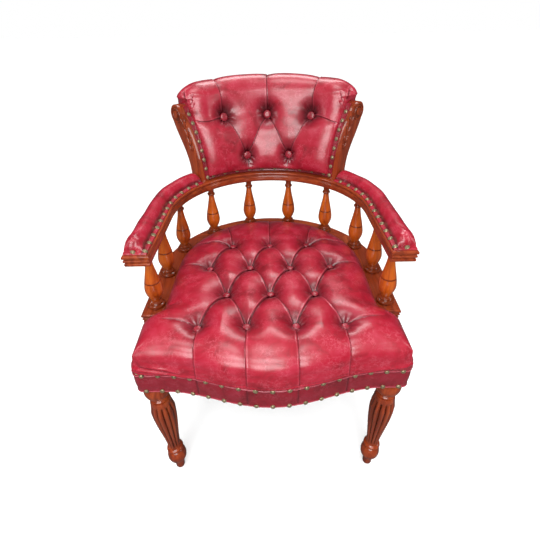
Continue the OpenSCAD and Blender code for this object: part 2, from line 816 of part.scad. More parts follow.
module bow_dowels() {
  color(raw) placed() for (side = [-1, 1]) on_side(side) at_bow_dowels()
    cylinder(d = peg_d, h = peg_l, center = true, $fn = 32);
}

// Spindles: they lean in a little, because the arm bow is the smaller of the two

lean = atan2(base_mid - arm_mid, spindle_h);
module at_spindle(i) {
  along(base_mid, (i - (spindle_count - 1) / 2) * spindle_pitch)
    translate([0, 0, base_z]) rotate([0, -lean, 0]) children();
}

module spindle_bores() {
  for (i = [0 : spindle_count - 1]) at_spindle(i) translate([0, 0, -tenon_l])
    cylinder(d = tenon_d + 2 * fit, h = spindle_h + 2 * tenon_l, $fn = 32);
}

belly = 0.26;        // where the spindle's vase is widest, from its foot
function vase(t) = // outline of the spindle's vase, t from its foot to its neck
  t < belly ? lerp(0.58, 1, sin(90 * t / belly))
  : let(q = (t - belly) / (1 - belly)) lerp(1, 0.38, smooth(q) * 0.65 + q * 0.35);

module spindle(i) {
  r = spindle_d / 2;
  h = spindle_h;
  low = h * 0.145;
  neck = h * 0.815;
  groove = 0.45;
  color(amber) placed() at_spindle(i) rotate_extrude($fn = 48) polygon(concat(
    [[0, 0.4 - tenon_l], [tenon_d / 2, 0.4 - tenon_l], [tenon_d / 2, 0.4], [r * 0.98, 0.4],
      [r * 1.03, h * 0.025], [r * 0.98, h * 0.05], [r * 0.74, h * 0.064], [r * 0.8, h * 0.08],
      [r * 0.76, h * 0.097], [r * 0.55, h * 0.115], [r * 0.52, low - 1]],
    [for (t = [0 : 0.065 : groove]) [r * vase(t), lerp(low, neck, t)]],
    [[r - 0.8, lerp(low, neck, groove + 0.008)]],
    [for (t = [groove + 0.02 : 0.08 : 1]) [r * vase(t), lerp(low, neck, t)]],
    [[r * 0.38, neck], [r * 0.5, neck + 1.5], [r * 0.55, neck + 4], [r * 0.5, neck + 6.5],
      [r * 0.4, neck + 8], [r * 0.44, h * 0.93], [r * 0.6, h * 0.97], [r * 0.72, h - 1.2],
      [r * 0.72, h - 0.8], [tenon_d / 2, h - 0.8], [tenon_d / 2, h + tenon_l - 0.4],
      [0, h + tenon_l - 0.4]]));
}

// Arm pads: a leather flange along the inner edge and a crowned pad behind it

flange_t = 3;
pad_section = [[2, gap], [2, flange_t], [9.5, flange_t + 0.2], [11, 12], [15.5, 20], [22, 25.5],
  [28.5, 26.5], [36, 24.5], [41.2, 19.2], [44.6, 11.5], [46.2, 4], [45.6, gap]];
pad_points = len(pad_section);
pad_rear_shape = [1, 0.97, 0.88, 0.7];
pad_front_shape = [[0, 0], [7, 0], [8, 0.3], [13, 0.72], [20, 0.92], [32, 1]];

function pad_height(z, rise) = z <= flange_t + 0.2 ? z
  : flange_t + 0.2 + (z * pad_h / 27 - flange_t - 0.2) * rise;
function pad_ring(place, rise) = [for (q = pad_section)
  [each place[0] + (arm_in + q[0] * arm_w / 48.5) * place[1], top_z + pad_height(q[1], rise)]];

module arm_pad(side) {
  steps = 11;
  last = post_angle - 3.3;
  front = [for (f = pad_front_shape)
    pad_ring([[0, -arm_straight + 2 + f[0]], [1, 0]], f[1])];
  middle = [for (y = [-arm_straight * 0.66, -arm_straight * 0.33])
    pad_ring([[0, y], [1, 0]], 1)];
  rear = [for (i = [0 : steps]) let(
    back = i - steps + 3,
    a = last * i / steps + (back == 1 || back == 2 ? 2 : 0))
    pad_ring([[0, 0], polar(1, a)], back > 0 ? pad_rear_shape[back] : 1)];
  rings = concat(front, middle, rear);
  count = len(rings);
  quads = [for (j = [0 : count - 2], i = [0 : pad_points - 1]) let(
    a = j * pad_points + i,
    b = j * pad_points + (i + 1) % pad_points)
    each [[a, b, b + pad_points], [a, b + pad_points, a + pad_points]]];
  last_ring = (count - 1) * pad_points;
  ends = [for (i = [1 : pad_points - 2]) each [[0, i + 1, i],
    [last_ring, last_ring + i, last_ring + i + 1]]];
  color(hide) placed() on_side(side)
    polyhedron([for (ring = rings) each ring], concat(quads, ends));
}

module arm_nails(side) {
  r = arm_in + 5.8;
  first = arm_straight - 9;
  count = floor((first + r * (post_angle - 5) * PI / 180) / small_pitch);
  color(brass) placed() on_side(side) {
    for (i = [0 : count]) along(r, r * PI / 2 + first - i * small_pitch)
      translate([0, 0, top_z + flange_t + 0.2 + gap]) nail_head();
    translate([arm_in + arm_w * 0.56, -arm_straight + 5.5, top_z + flange_t + 0.5 + gap])
      nail_head();
  }
}

// Back. Sections are drawn as [distance from the horseshoe's centre, height]

front_curve = [[post_r, top_z], [post_r + 6, top_z + 55.5],
  [post_r + 16, top_z + 113.5], [scroll_rad - scroll_r - 2, scroll_z]];
rear_curve = [[post_r + post_foot, top_z], [post_r + post_foot - 6, top_z + 76],
  [scroll_rad + scroll_r - 19, top_z + 92], [scroll_rad + scroll_r, scroll_z]];

// Moves a shape drawn in a section's plane to the plane of the right post
module at_post() {
  rotate([0, 0, post_angle]) children();
}

module back_post(side) {
  outline = concat(
    bezier_points(front_curve, 12),
    [for (a = [170 : -20 : 10]) [scroll_rad, scroll_z] + polar(scroll_r, a)],
    [for (i = [10 : -1 : 0]) bezier(rear_curve, i / 10)]);
  color(wood) placed() on_side(side) difference() {
    at_post() {
      translate([0, post_t / 2, 0]) rotate([90, 0, 0]) linear_extrude(post_t) polygon(outline);
      translate([scroll_rad, -post_t / 2, scroll_z]) rotate([90, 0, 0]) scroll_carving();
    }
    post_screw_holes();
  }
}

// Raised ring and eye of the scroll on the outer face of a post
module scroll_carving() {
  difference() {
    cylinder(r = scroll_r - 2, h = 1.6, $fn = 48);
    translate([0, 0, -1]) cylinder(r = scroll_r - 6, h = 4, $fn = 48);
  }
  cylinder(r = scroll_r * 0.36, h = 2.4, $fn = 48);
}

module at_post_screws() {
  for (x = [14, 28]) at_post() translate([post_r + x, 0, arm_z]) mirror([0, 0, 1]) children();
}

module post_screw_holes() {
  at_post_screws() screw_hole(5, 60);
}

module post_screws() {
  color(steel) placed() for (side = [-1, 1]) on_side(side) at_post_screws() screw(5, 60);
}

// Wedge between the inner faces of the two posts, less a clearance
module between_posts(clear) {
  reach = 600;
  d = post_t / 2 + clear;
  p = polar(1, post_angle);
  n = [-p[1], p[0]];
  start = d / p[0];
  linear_extrude(1000) polygon([[0, start], [reach * p[0] + d * n[0], reach * p[1] + d * n[1]],
    [0, reach * 2], [-reach * p[0] - d * n[0], reach * p[1] + d * n[1]]]);
}

module swept(clear = 0) {
  intersection() {
    rotate([0, 0, post_angle - 5]) rotate_extrude(angle = 190 - 2 * post_angle, $fn = 120)
      children();
    between_posts(clear);
  }
}

bottom_rail_h = 28;
front_room = 8;
board_gap = 10;
module back_bottom_rail() {
  color(raw) placed() swept()
    translate([post_r + front_room, top_z]) square([post_foot - front_room - 6, bottom_rail_h]);
}

top_rail_r = scroll_r - 5;
module back_top_rail() {
  color(raw) placed() swept() translate([scroll_rad, scroll_z]) circle(r = top_rail_r, $fn = 32);
}

module back_board() {
  face = [for (t = [0.2 : 0.1 : 1]) bezier(front_curve, t) + [board_gap, 0]];
  last = face[len(face) - 1];
  color(raw) placed() swept() difference() {
    polygon(concat(
      [[face[0][0], top_z + bottom_rail_h]],
      [for (p = face) if (p[1] > top_z + bottom_rail_h + 2 && p[1] < scroll_z - 14) p],
      [for (i = [len(face) - 1 : -1 : 0]) let(p = face[i])
        if (p[1] > top_z + bottom_rail_h + 2 && p[1] < scroll_z - 14) p + [8, 0]],
      [[face[0][0] + 8, top_z + bottom_rail_h]]));
    translate([scroll_rad, scroll_z]) circle(r = top_rail_r, $fn = 32);
  }
}

// Leather strips that carry the nails: up the inner half of each post's front edge and along
// the bottom rail
trim_t = 2.5;
module back_trim() {
  edge = bezier_points(front_curve, 12);
  top = [for (a = [170 : -20 : 130]) [scroll_rad, scroll_z] + polar(scroll_r, a)];
  line = concat([for (i = [1 : 12]) edge[i]], top);
  color(hide) placed() {
    for (side = [-1, 1]) on_side(side) at_post()
      translate([0, post_t / 2, 0]) rotate([90, 0, 0]) linear_extrude(post_t * 0.48)
        polygon(concat(line, [for (i = [len(line) - 1 : -1 : 0]) line[i] - [trim_t, 0]]));
    swept(0.4) translate([post_r + front_room - trim_t, top_z + gap])
      square([trim_t, 14]);
  }
}

module back_nails() {
  side_n = 8;
  r = post_r + front_room - trim_t;
  span = 90 - post_angle - 7;
  bottom_n = 10;
  color(brass) placed() {
    for (side = [-1, 1]) on_side(side) for (i = [0 : side_n - 1]) let(
      t = lerp(0.06, 1, i / (side_n - 1)),
      p = bezier(front_curve, t),
      q = bezier(front_curve, t - 0.02),
      tilt = atan2(p[0] - q[0], p[1] - q[1]))
      at_post() translate([p[0] - trim_t, post_t * 0.26, p[1]]) rotate([0, tilt - 90, 0])
        translate([0, 0, gap]) nail_head();
    for (i = [0 : bottom_n - 1]) let(a = lerp(-span, span, i / (bottom_n - 1)))
      rotate([0, 0, 90 + a]) translate([r, 0, top_z + 7.5]) rotate([0, 0, 180]) face_nail();
  }
}

// Back cushion: a thick sheet from the bottom rail up the front, over the roll and a little
// way down behind. u counts half pitches round the back, t rows of buttons.

unit_angle = 12.6;   // half the pitch of the upper buttons
low_unit = 14.3;      // half the pitch of the lower buttons
unit_cells = 6;
side_cells = 3;
back_w = 2 * (2 * unit_cells + side_cells);
t_low = 0.31;
t_high = 0.95;
low_cells = 3;
rise_cells = 6;
roll_cells = 9;
back_h = low_cells + rise_cells + roll_cells;

// Height up the curve for a row: up to 1 on the post's front curve, then degrees of roll
function back_row(j) = j <= low_cells ? lerp(0.1, t_low, j / low_cells)
  : j <= low_cells + rise_cells ? lerp(t_low, t_high, (j - low_cells) / rise_cells)
  : 1;
function roll_angle(j) = let(k = j - low_cells - rise_cells - 1)
  k <= 4 ? 180 - 22.5 * k : k <= 7 ? 90 - 30 * (k - 4) : -30;
function back_tau(j) = (j - low_cells) / rise_cells;

function end_angle(r) = 90 - post_angle - asin((post_t / 2 + 0.4) / r);
function back_unit(j) = lerp(low_unit, unit_angle, clamp(back_tau(j), 0, 1));
function back_angle(i, j, r) = let(
  c = abs(i - back_w / 2),
  side = i < back_w / 2 ? 1 : -1,
  unit = back_unit(j))
  side * (c <= 2 * unit_cells ? c * unit / unit_cells
    : lerp(2 * unit, end_angle(r), (c - 2 * unit_cells) / side_cells));

function side_round(i, j, r) = let(
  left = abs(end_angle(r)) - abs(back_angle(i, j, r)))
  dome(left * PI / 180 * r / 45);

function back_point(i, j, outer) = let(
  in_roll = j > low_cells + rise_cells,
  base = bezier(front_curve, back_row(j)),
  psi = roll_angle(j),
  s = side_round(i, j, in_roll ? scroll_rad : base[0]),
  u = (i - back_w / 2) / unit_cells,
  tau = back_tau(j),
  limit = 2 + smooth((tau - 0.6) / 0.4),
  f = puff(u, tau, 1, limit),
  spot = max([for (b = [[1, 0], [0, 1], [2, 1]])
    exp(-pow((abs(u) - b[0]) / 0.45, 2) - pow((tau - b[1]) / 0.26, 2))]),
  fade = s * (in_roll ? smooth((psi - 20) / 110) : smooth((j + 0.4) / 2)),
  dent = fade * (pleat * 0.9 * (1 - f) + dimple * spot),
  low_round = dome((base[1] - top_z - 10) / 45),
  crown = back_crown * s * low_round - dent,
  crest = 9 * pow(back_angle(i, j, scroll_rad) / 38, 2),
  front_axis = scroll_r + 2 + back_crown * s - dent,
  top_axis = lerp(scroll_r + 14, roll_rise - crest, s) - dent,
  rear_axis = scroll_r + roll_back - 4 * (1 - s),
  on_board = smooth((base[1] - top_z - bottom_rail_h - 2) / 8),
  r = !outer ? (in_roll ? scroll_rad + (top_rail_r + 1) * cos(psi)
      : lerp(post_r + front_room, base[0] + board_gap, on_board) - gap)
    : in_roll ? scroll_rad + (psi > 90 ? front_axis : rear_axis) * cos(psi)
    : base[0] - 2 - crown,
  z = !in_roll ? base[1]
    : scroll_z + (!outer ? (top_rail_r + 1) * sin(psi)
      : psi >= 0 ? top_axis * sin(psi) : rear_axis * sin(psi)),
  a = 90 + back_angle(i, j, r))
  [each polar(r, a), z];

module back_cushion() {
  count = (back_w + 1) * (back_h + 1);
  function at(i, j) = j * (back_w + 1) + i;
  faces = [for (j = [0 : back_h - 1], i = [0 : back_w - 1]) let(
    a = at(i, j), b = at(i + 1, j), c = at(i + 1, j + 1), d = at(i, j + 1),
    rising = (i - back_w / 2 - unit_cells - (j - low_cells) + 1200) % (2 * unit_cells) == 0)
    each concat(rising ? [[a, c, b], [a, d, c]] : [[a, d, b], [b, d, c]],
      [[a + count, b + count, c + count], [a + count, c + count, d + count]])];
  ring = net_ring(back_w, back_h);
  n = len(ring);
  rim = [for (k = [0 : n - 1]) let(
    a = at(ring[k][0], ring[k][1]),
    b = at(ring[(k + 1) % n][0], ring[(k + 1) % n][1]))
    each [[a, b, b + count], [a, b + count, a + count]]];
  color(hide) placed() polyhedron(
    concat(
      [for (j = [0 : back_h], i = [0 : back_w]) back_point(i, j, true)],
      [for (j = [0 : back_h], i = [0 : back_w]) back_point(i, j, false)]),
    concat(faces, rim));
}

module back_buttons() {
  color(hide) placed() for (b = [[-1, 0], [1, 0], [-2, 1], [0, 1], [2, 1]]) let(
    i = back_w / 2 + b[0] * unit_cells,
    j = low_cells + b[1] * rise_cells,
    p = back_point(i, j, true),
    r = norm([p[0], p[1]]))
    rotate([0, 0, 90 + back_angle(i, j, r)]) translate([r - gap, 0, p[2]])
      rotate([0, b[1] == 0 ? -80 : -66, 0]) button(0.7);
}

// Leather-covered panel that closes the back from behind
panel_t = 3.5;
panel_steps = 12;
panel_face = [for (i = [0 : panel_steps])
  bezier(rear_curve, lerp(0.03, 0.93, i / panel_steps)) - [1, 0]];
module outside_back() {
  color(hide) placed() swept(0.4) polygon(concat(panel_face,
    [for (i = [panel_steps : -1 : 0]) panel_face[i] - [panel_t, 0]]));
}

module panel_nail(step, turn) {
  p = panel_face[step];
  q = panel_face[step + 1];
  middle = (p + q) / 2;
  rotate([0, 0, 90 + turn]) translate([middle[0], 0, middle[1]])
    rotate([0, 90 + atan2(q[0] - p[0], q[1] - p[1]), 0]) translate([0, 0, gap]) nail_head();
}

module outside_nails() {
  bottom_n = 10;
  span = 90 - post_angle - 6;
  color(brass) placed() {
    for (i = [0 : bottom_n]) panel_nail(0, lerp(-span, span, i / bottom_n));
    for (side = [-1, 1], step = [2 : 2 : panel_steps - 1])
      panel_nail(step, side * (end_angle(panel_face[step][0]) - 1.6));
  }
}

front_leg(-1);  // front_leg_left
front_leg(1);  // front_leg_right
rear_leg(-1);  // rear_leg_left
rear_leg(1);  // rear_leg_right
front_rail();
side_rail(-1);  // side_rail_left
side_rail(1);  // side_rail_right
back_rail();
corner_blocks();
block_screws();
frame_dowels();
leg_screws();
seat_board();
board_screws();
seat_band();
seat_cushion();
seat_buttons();
seat_nails_upper();
seat_nails_lower();
dust_cover();
base_bow_side(-1);  // base_bow_left
base_bow_back();
base_bow_side(1);  // base_bow_right
base_dowels();
bow_dowels();
for (i = [0 : spindle_count - 1])
  spindle(i);
arm_bow_side(-1);  // arm_bow_left
arm_bow_back();
arm_bow_side(1);  // arm_bow_right
arm_pad(-1);  // arm_pad_left
arm_pad(1);  // arm_pad_right
arm_nails(-1);  // arm_nails_left
arm_nails(1);  // arm_nails_right
back_post(-1);  // back_post_left
back_post(1);  // back_post_right
post_screws();
back_bottom_rail();
back_top_rail();
back_board();
back_cushion();
back_buttons();
back_trim();
back_nails();
outside_back();
outside_nails();
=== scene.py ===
import math

import bpy
import numpy as np
from mathutils import Matrix, Vector


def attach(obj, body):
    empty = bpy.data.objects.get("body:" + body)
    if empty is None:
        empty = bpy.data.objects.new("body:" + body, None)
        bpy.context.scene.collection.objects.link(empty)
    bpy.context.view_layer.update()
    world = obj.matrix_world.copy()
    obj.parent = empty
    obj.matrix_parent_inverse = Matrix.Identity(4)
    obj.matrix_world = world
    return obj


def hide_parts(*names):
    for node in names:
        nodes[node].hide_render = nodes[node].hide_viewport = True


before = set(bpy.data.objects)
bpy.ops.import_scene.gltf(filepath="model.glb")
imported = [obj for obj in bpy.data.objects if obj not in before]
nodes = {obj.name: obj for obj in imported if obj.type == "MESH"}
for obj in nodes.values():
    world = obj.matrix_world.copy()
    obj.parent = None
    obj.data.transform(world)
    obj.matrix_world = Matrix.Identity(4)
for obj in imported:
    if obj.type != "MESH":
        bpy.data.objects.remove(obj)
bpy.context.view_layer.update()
print("frame loaded:", len(nodes), "nodes")

# Sizes in metres that several pieces share. The horseshoe of the gallery is drawn about a
# centre that lies a little in front of the origin.
chair = {
    "centreY": -0.000175,
    "halfWidth": 0.277,       # across the leather band
    "seatFront": 0.289,       # from the horseshoe's centre to the flat parts of the seat front
    "frontSwell": 0.041,
    "swellHalf": 0.225,
    "bandZ": 0.398,
    "baseZ": 0.445,
    "armZ": 0.592,
    "topZ": 0.6145,
    "spindleHeight": 0.147,
    "baseInner": 0.228,       # radii
    "armInner": 0.2235,
    "armWidth": 0.0485,
    "scrollRadius": 0.305,
    "scrollZ": 0.773,
    "postAngle": 44.5,        # degrees from the chair's side
    "weld": 0.00002,          # points nearer than this are one
}


# Small helpers

def activate(piece):
    if bpy.context.object and bpy.context.object.mode != "OBJECT":
        bpy.ops.object.mode_set(mode="OBJECT")
    bpy.ops.object.select_all(action="DESELECT")
    piece.select_set(True)
    bpy.context.view_layer.objects.active = piece


def editWhole(piece, *steps):
    # runs mesh operators on all of a piece
    activate(piece)
    bpy.ops.object.mode_set(mode="EDIT")
    bpy.ops.mesh.select_all(action="SELECT")
    for step in steps:
        step()
    bpy.ops.object.mode_set(mode="OBJECT")


def weld():
    bpy.ops.mesh.remove_doubles(threshold=chair["weld"])


def cleanNormals(piece):
    editWhole(piece, weld, lambda: bpy.ops.mesh.normals_make_consistent(inside=False))


def modify(piece, kind, **settings):
    # adds a modifier and applies it
    modifier = piece.modifiers.new(kind.title(), kind)
    for name, value in settings.items():
        setattr(modifier, name, value)
    activate(piece)
    bpy.ops.object.modifier_apply(modifier=modifier.name)


def smoothByAngle(piece, degrees):
    activate(piece)
    bpy.ops.object.shade_smooth_by_angle(angle=math.radians(degrees))


def settle(piece):
    # puts a piece's place, turn and scale into its mesh
    activate(piece)
    bpy.ops.object.transform_apply(location=True, rotation=True, scale=True)


def dress(piece, finish, node, smooth):
    # gives a finished piece its shading and material, puts its place into its mesh, hangs it on the root
    # body and hides the CAD node that it stands for
    smoothByAngle(piece, smooth)
    settle(piece)
    piece.data.materials.clear()
    piece.data.materials.append(finishes[finish])
    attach(piece, "root")
    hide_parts(node)


def meshPiece(name, points, faces, edges=()):
    mesh = bpy.data.meshes.new(name)
    mesh.from_pydata([tuple(p) for p in points], edges, faces)
    mesh.validate()
    piece = bpy.data.objects.new(name, mesh)
    bpy.context.collection.objects.link(piece)
    return piece


def joinPieces(parts, name):
    activate(parts[0])
    for part in parts[1:]:
        part.select_set(True)
    bpy.ops.object.join()
    parts[0].name = parts[0].data.name = name
    return parts[0]


def copyOf(piece, name, matrix=None):
    twin = piece.copy()
    twin.data = piece.data.copy()
    twin.name = twin.data.name = name
    bpy.context.collection.objects.link(twin)
    if matrix is not None:
        twin.data.transform(matrix)
    return twin


def freeCopy(node, name):
    # a copy of a CAD node, free of the frame, with its corners welded
    piece = copyOf(nodes[node], name)
    piece.parent = None
    piece.matrix_world = Matrix.Identity(4)
    editWhole(piece, weld, bpy.ops.mesh.customdata_custom_splitnormals_clear)
    return piece


def turned(name, profile, steps):
    # a profile of (radius, height) points spun round Z, as a lathe does
    edges = [(i, i + 1) for i in range(len(profile) - 1)]
    piece = meshPiece(name, [(r, 0, z) for r, z in profile], [], edges)
    editWhole(piece, lambda: bpy.ops.mesh.spin(steps=steps, angle=math.tau, center=(0, 0, 0),
                                               axis=(0, 0, 1)))
    cleanNormals(piece)
    return piece


def netFaces(rows, columns, start=0, closed=False, looped=False, flipped=False):
    # quads of a net of points; closed joins the ends of each row, looped the last row to the first
    faces = []
    for j in range(rows if looped else rows - 1):
        for i in range(columns if closed else columns - 1):
            a, b = start + j * columns + i, start + j * columns + (i + 1) % columns
            up = columns if j < rows - 1 else -j * columns
            faces.append((a, a + up, b + up, b) if flipped else (a, b, b + up, a + up))
    return faces


def netRing(w, h):
    # the border of a net of w by h cells, anticlockwise from its first corner, as point numbers
    ring = ([(i, 0) for i in range(w + 1)] + [(w, j) for j in range(1, h + 1)]
            + [(i, h) for i in range(w - 1, -1, -1)] + [(0, j) for j in range(h - 1, 0, -1)])
    return [j * (w + 1) + i for i, j in ring]


def ease(t):
    t = np.clip(t, 0, 1)
    return t * t * (3 - 2 * t)


def quarterRound(t):
    # height of a quarter circle, 0 at t = 0 and 1 at t = 1
    return np.sqrt(1 - (1 - np.clip(t, 0, 1)) ** 2)


def hill(t, width):
    # 1 at t = 0, falling away over a width to both sides
    return np.exp(-(t / width) ** 2)


def ripple(x, y, seed, scale):
    # smooth unevenness between -1 and 1, the same on every run
    total = 0
    for k in range(5):
        angle = seed * 1.7 + k * 2.399
        turn = scale * (1 + 0.37 * k)
        total = total + np.sin((x * math.cos(angle) + y * math.sin(angle)) * turn + seed * (k + 1.3))
    return total / 3.2


def polar(r, angle):
    return np.stack([r * np.cos(angle), r * np.sin(angle)], -1)


def lengths(points):
    # distances along a line of points
    return np.concatenate([[0], np.cumsum(np.linalg.norm(np.diff(points, axis=0), axis=1))])


def alongLine(points, s):
    return np.stack([np.interp(s, lengths(points), points[:, k]) for k in (0, 1)], 1)


def outwardFrom(points):
    # directions square to a closed line in plan that runs anticlockwise
    ahead = np.roll(points, -1, 0) - np.roll(points, 1, 0)
    outward = np.stack([ahead[:, 1], -ahead[:, 0]], 1)
    return outward / (np.linalg.norm(outward, axis=1, keepdims=True) + 1e-12)


def slopeOf(line):
    slope = np.gradient(line, axis=0)
    return slope / np.linalg.norm(slope, axis=1, keepdims=True)


def frontY(x):
    a = np.minimum(1, np.abs(x) / chair["swellHalf"])
    return -chair["seatFront"] - chair["frontSwell"] * np.cos(a * math.pi / 2) ** 2


# Materials

def plug(tree, socket, value):
    # links a socket to another, or sets its value
    if isinstance(value, bpy.types.NodeSocket):
        tree.links.new(value, socket)
    elif socket.type == "RGBA" and len(value) == 3:
        socket.default_value = (*value, 1)
    else:
        socket.default_value = value


def addNode(tree, kind, inputs=None, **settings):
    node = tree.nodes.new(kind)
    for name, value in settings.items():
        setattr(node, name, value)
    for name, value in (inputs or {}).items():
        plug(tree, node.inputs[name], value)
    return node


def newMaterial(name, **sockets):
    material = bpy.data.materials.new(name)
    material.use_nodes = True
    tree = material.node_tree
    shader = tree.nodes["Principled BSDF"]
    for socket, value in sockets.items():
        shader.inputs[socket.replace("_", " ")].default_value = value
    return material, tree, shader


def greys(*stops):
    return [(place, (level,) * 3) for place, level in stops]


def ramp(tree, factor, stops):
    node = addNode(tree, "ShaderNodeValToRGB", {"Fac": factor})
    while len(node.color_ramp.elements) < len(stops):
        node.color_ramp.elements.new(0.5)
    for element, (place, colour) in zip(node.color_ramp.elements, stops):
        element.position = place
        element.color = (*colour, 1)
    return node.outputs["Color"]


def mixColour(tree, factor, a, b):
    return addNode(tree, "ShaderNodeMix", {0: factor, 6: a, 7: b}, data_type="RGBA").outputs[2]


def maths(tree, operation, a, b):
    return addNode(tree, "ShaderNodeMath", {0: a, 1: b}, operation=operation).outputs[0]


def bump(tree, shader, height, distance, strength, under=None):
    inputs = {"Height": height, "Distance": distance, "Strength": strength}
    if under:
        inputs["Normal"] = under
    normal = addNode(tree, "ShaderNodeBump", inputs).outputs["Normal"]
    tree.links.new(normal, shader.inputs["Normal"])
    return normal


def objectPlace(tree, stretch=(1, 1, 1)):
    place = addNode(tree, "ShaderNodeTexCoord").outputs["Object"]
    return addNode(tree, "ShaderNodeMapping", {"Vector": place, "Scale": stretch}).outputs["Vector"]


def noise(tree, place, scale, detail, roughness=0.5, distortion=0.0):
    return addNode(tree, "ShaderNodeTexNoise", {
        "Vector": place, "Scale": scale, "Detail": detail, "Roughness": roughness,
        "Distortion": distortion}).outputs["Fac"]


def attribute(tree, name):
    return addNode(tree, "ShaderNodeAttribute", attribute_name=name).outputs["Fac"]


leatherLook = {
    "shadeTone": (0.060, 0.001, 0.004),     # painted shade: in pleats, dimples and creases, and over the band and buttons
    "dark": (0.205, 0.002, 0.010),
    "body": (0.355, 0.0045, 0.021),
    "rubbed": (0.425, 0.024, 0.054),   # worn crowns
    "edge": (0.600, 0.110, 0.150),     # along the folded edges: wear and a painted highlight
    "vein": (0.520, 0.075, 0.110),
    "mottle": 24,                      # blotches per metre
    "veins": 95,                       # cells of the vein net per metre
    "pebble": 1500,                    # grain cells per metre
    "grainDepth": 0.00009,
}


def leather(name, cavity=False, darker=0.0):
    # antiqued crimson hide: a rubbed top colour over a darker ground, with pale hair veins.
    # With cavity it paints shade into pleats, dimples and creases by the mesh's shade attribute, and pales
    # by "worn": wear with a painted highlight along folded edges.
    material, tree, shader = newMaterial(
        name, IOR=1.5, Coat_Weight=1.0, Coat_Roughness=0.27, Specular_IOR_Level=0.35)
    look = leatherLook
    place = objectPlace(tree)
    blotch = noise(tree, place, look["mottle"], 7, 0.62, 0.7)
    colour = ramp(tree, blotch, [(0.30, look["dark"]), (0.50, look["body"]), (0.78, look["rubbed"])])
    bent = noise(tree, place, look["veins"] * 0.8, 3, 0.6).node.outputs["Color"]
    wandering = addNode(tree, "ShaderNodeMix", {0: 0.03, 4: place, 5: bent}, data_type="VECTOR")
    cells = addNode(tree, "ShaderNodeTexVoronoi", {"Vector": wandering.outputs[1], "Scale": look["veins"]},
                    feature="DISTANCE_TO_EDGE").outputs["Distance"]
    patches = noise(tree, place, look["mottle"] * 1.7, 2)
    veins = maths(tree, "MULTIPLY", ramp(tree, cells, greys((0.0, 1), (0.09, 0))),
                  ramp(tree, patches, greys((0.42, 0), (0.60, 0.6))))
    colour = mixColour(tree, veins, colour, look["vein"])
    # darker paints shade over the whole piece: the band's upright faces and the buttons sunk in their
    # dimples
    colour = mixColour(tree, darker, colour, look["shadeTone"])
    if cavity:
        # painted shade in pleats, dimples and creases, then pale rims of wear and painted highlight
        hollows = greys((0.0, 0), (0.12, 0.05), (0.4, 0.48), (1.0, 0.95))
        shade = ramp(tree, attribute(tree, "paintedShade"), hollows)
        colour = mixColour(tree, shade, colour, look["shadeTone"])
        colour = mixColour(tree, attribute(tree, "worn"), colour, look["edge"])
    tree.links.new(colour, shader.inputs["Base Color"])
    tree.links.new(ramp(tree, blotch, greys((0.3, 0.40), (0.75, 0.30))), shader.inputs["Roughness"])
    cells = {"Vector": place, "Scale": look["pebble"], "Smoothness": 0.6}
    pebbles = addNode(tree, "ShaderNodeTexVoronoi", cells, feature="SMOOTH_F1").outputs["Distance"]
    creases = noise(tree, place, look["pebble"] * 0.22, 4, 0.6)
    fine = bump(tree, shader, pebbles, look["grainDepth"], 0.55)
    bump(tree, shader, creases, look["grainDepth"] * 3, 0.5, fine)
    return material


woodLook = {
    "polished": {"dark": (0.070, 0.009, 0.002), "body": (0.245, 0.032, 0.007),
                 "light": (0.410, 0.078, 0.016), "rough": 0.32, "coat": 1.0},
    "amber": {"dark": (0.150, 0.018, 0.002), "body": (0.430, 0.072, 0.005),
              "light": (0.630, 0.150, 0.010), "rough": 0.30, "coat": 1.0},
    "raw": {"dark": (0.360, 0.220, 0.115), "body": (0.520, 0.350, 0.200),
            "light": (0.640, 0.470, 0.300), "rough": 0.74, "coat": 0.0},
    # painted shade in the cuts of carved pieces
    "cut": (0.012, 0.002, 0.001),
}


def wood(name, kind, grain, carved=False):
    # grain is the axis that the fibres follow; a carved piece has painted shade in its cuts by its attribute
    # "cut"
    look = woodLook[kind]
    material, tree, shader = newMaterial(
        name, Roughness=look["rough"], IOR=1.5, Coat_Weight=look["coat"], Coat_Roughness=0.07,
        Specular_IOR_Level=0.25)
    along = {"X": (0.07, 1, 1), "Y": (1, 0.07, 1), "Z": (1, 1, 0.07)}[grain]
    place = objectPlace(tree, along)
    stripes = noise(tree, place, 62, 8, 0.62, 1.1)
    fibres = noise(tree, objectPlace(tree, tuple(0.25 * a if a < 1 else a for a in along)), 620, 3, 0.7)
    clouds = noise(tree, place, 17, 2)
    colour = ramp(tree, stripes, [(0.30, look["dark"]), (0.50, look["body"]), (0.74, look["light"])])
    colour = mixColour(tree, ramp(tree, clouds, greys((0.35, 0.55), (0.65, 0))), colour, look["body"])
    pores = ramp(tree, fibres, greys((0.30, 0.62), (0.42, 0)))
    colour = mixColour(tree, maths(tree, "MULTIPLY", pores, 0.55), colour, look["dark"])
    if kind == "amber":
        # the ring at the foot, the scribed line and the neck are stained darker
        height = addNode(tree, "ShaderNodeSeparateXYZ", {"Vector": objectPlace(tree)}).outputs["Z"]
        above = maths(tree, "SUBTRACT", height, chair["baseZ"])
        share = maths(tree, "DIVIDE", above, chair["spindleHeight"])
        stain = ramp(tree, share, greys((0.0, 1), (0.115, 0.9), (0.155, 0), (0.440, 0), (0.449, 1),
                                        (0.462, 1), (0.472, 0), (0.79, 0), (0.83, 0.8)))
        colour = mixColour(tree, stain, colour, look["dark"])
    if carved:
        # painted shade in the reeds' grooves and the carving's cuts
        cuts = maths(tree, "MULTIPLY", attribute(tree, "cut"), 0.88)
        colour = mixColour(tree, cuts, colour, woodLook["cut"])
    tree.links.new(colour, shader.inputs["Base Color"])
    bump(tree, shader, fibres, 0.00006, 0.35)
    return material


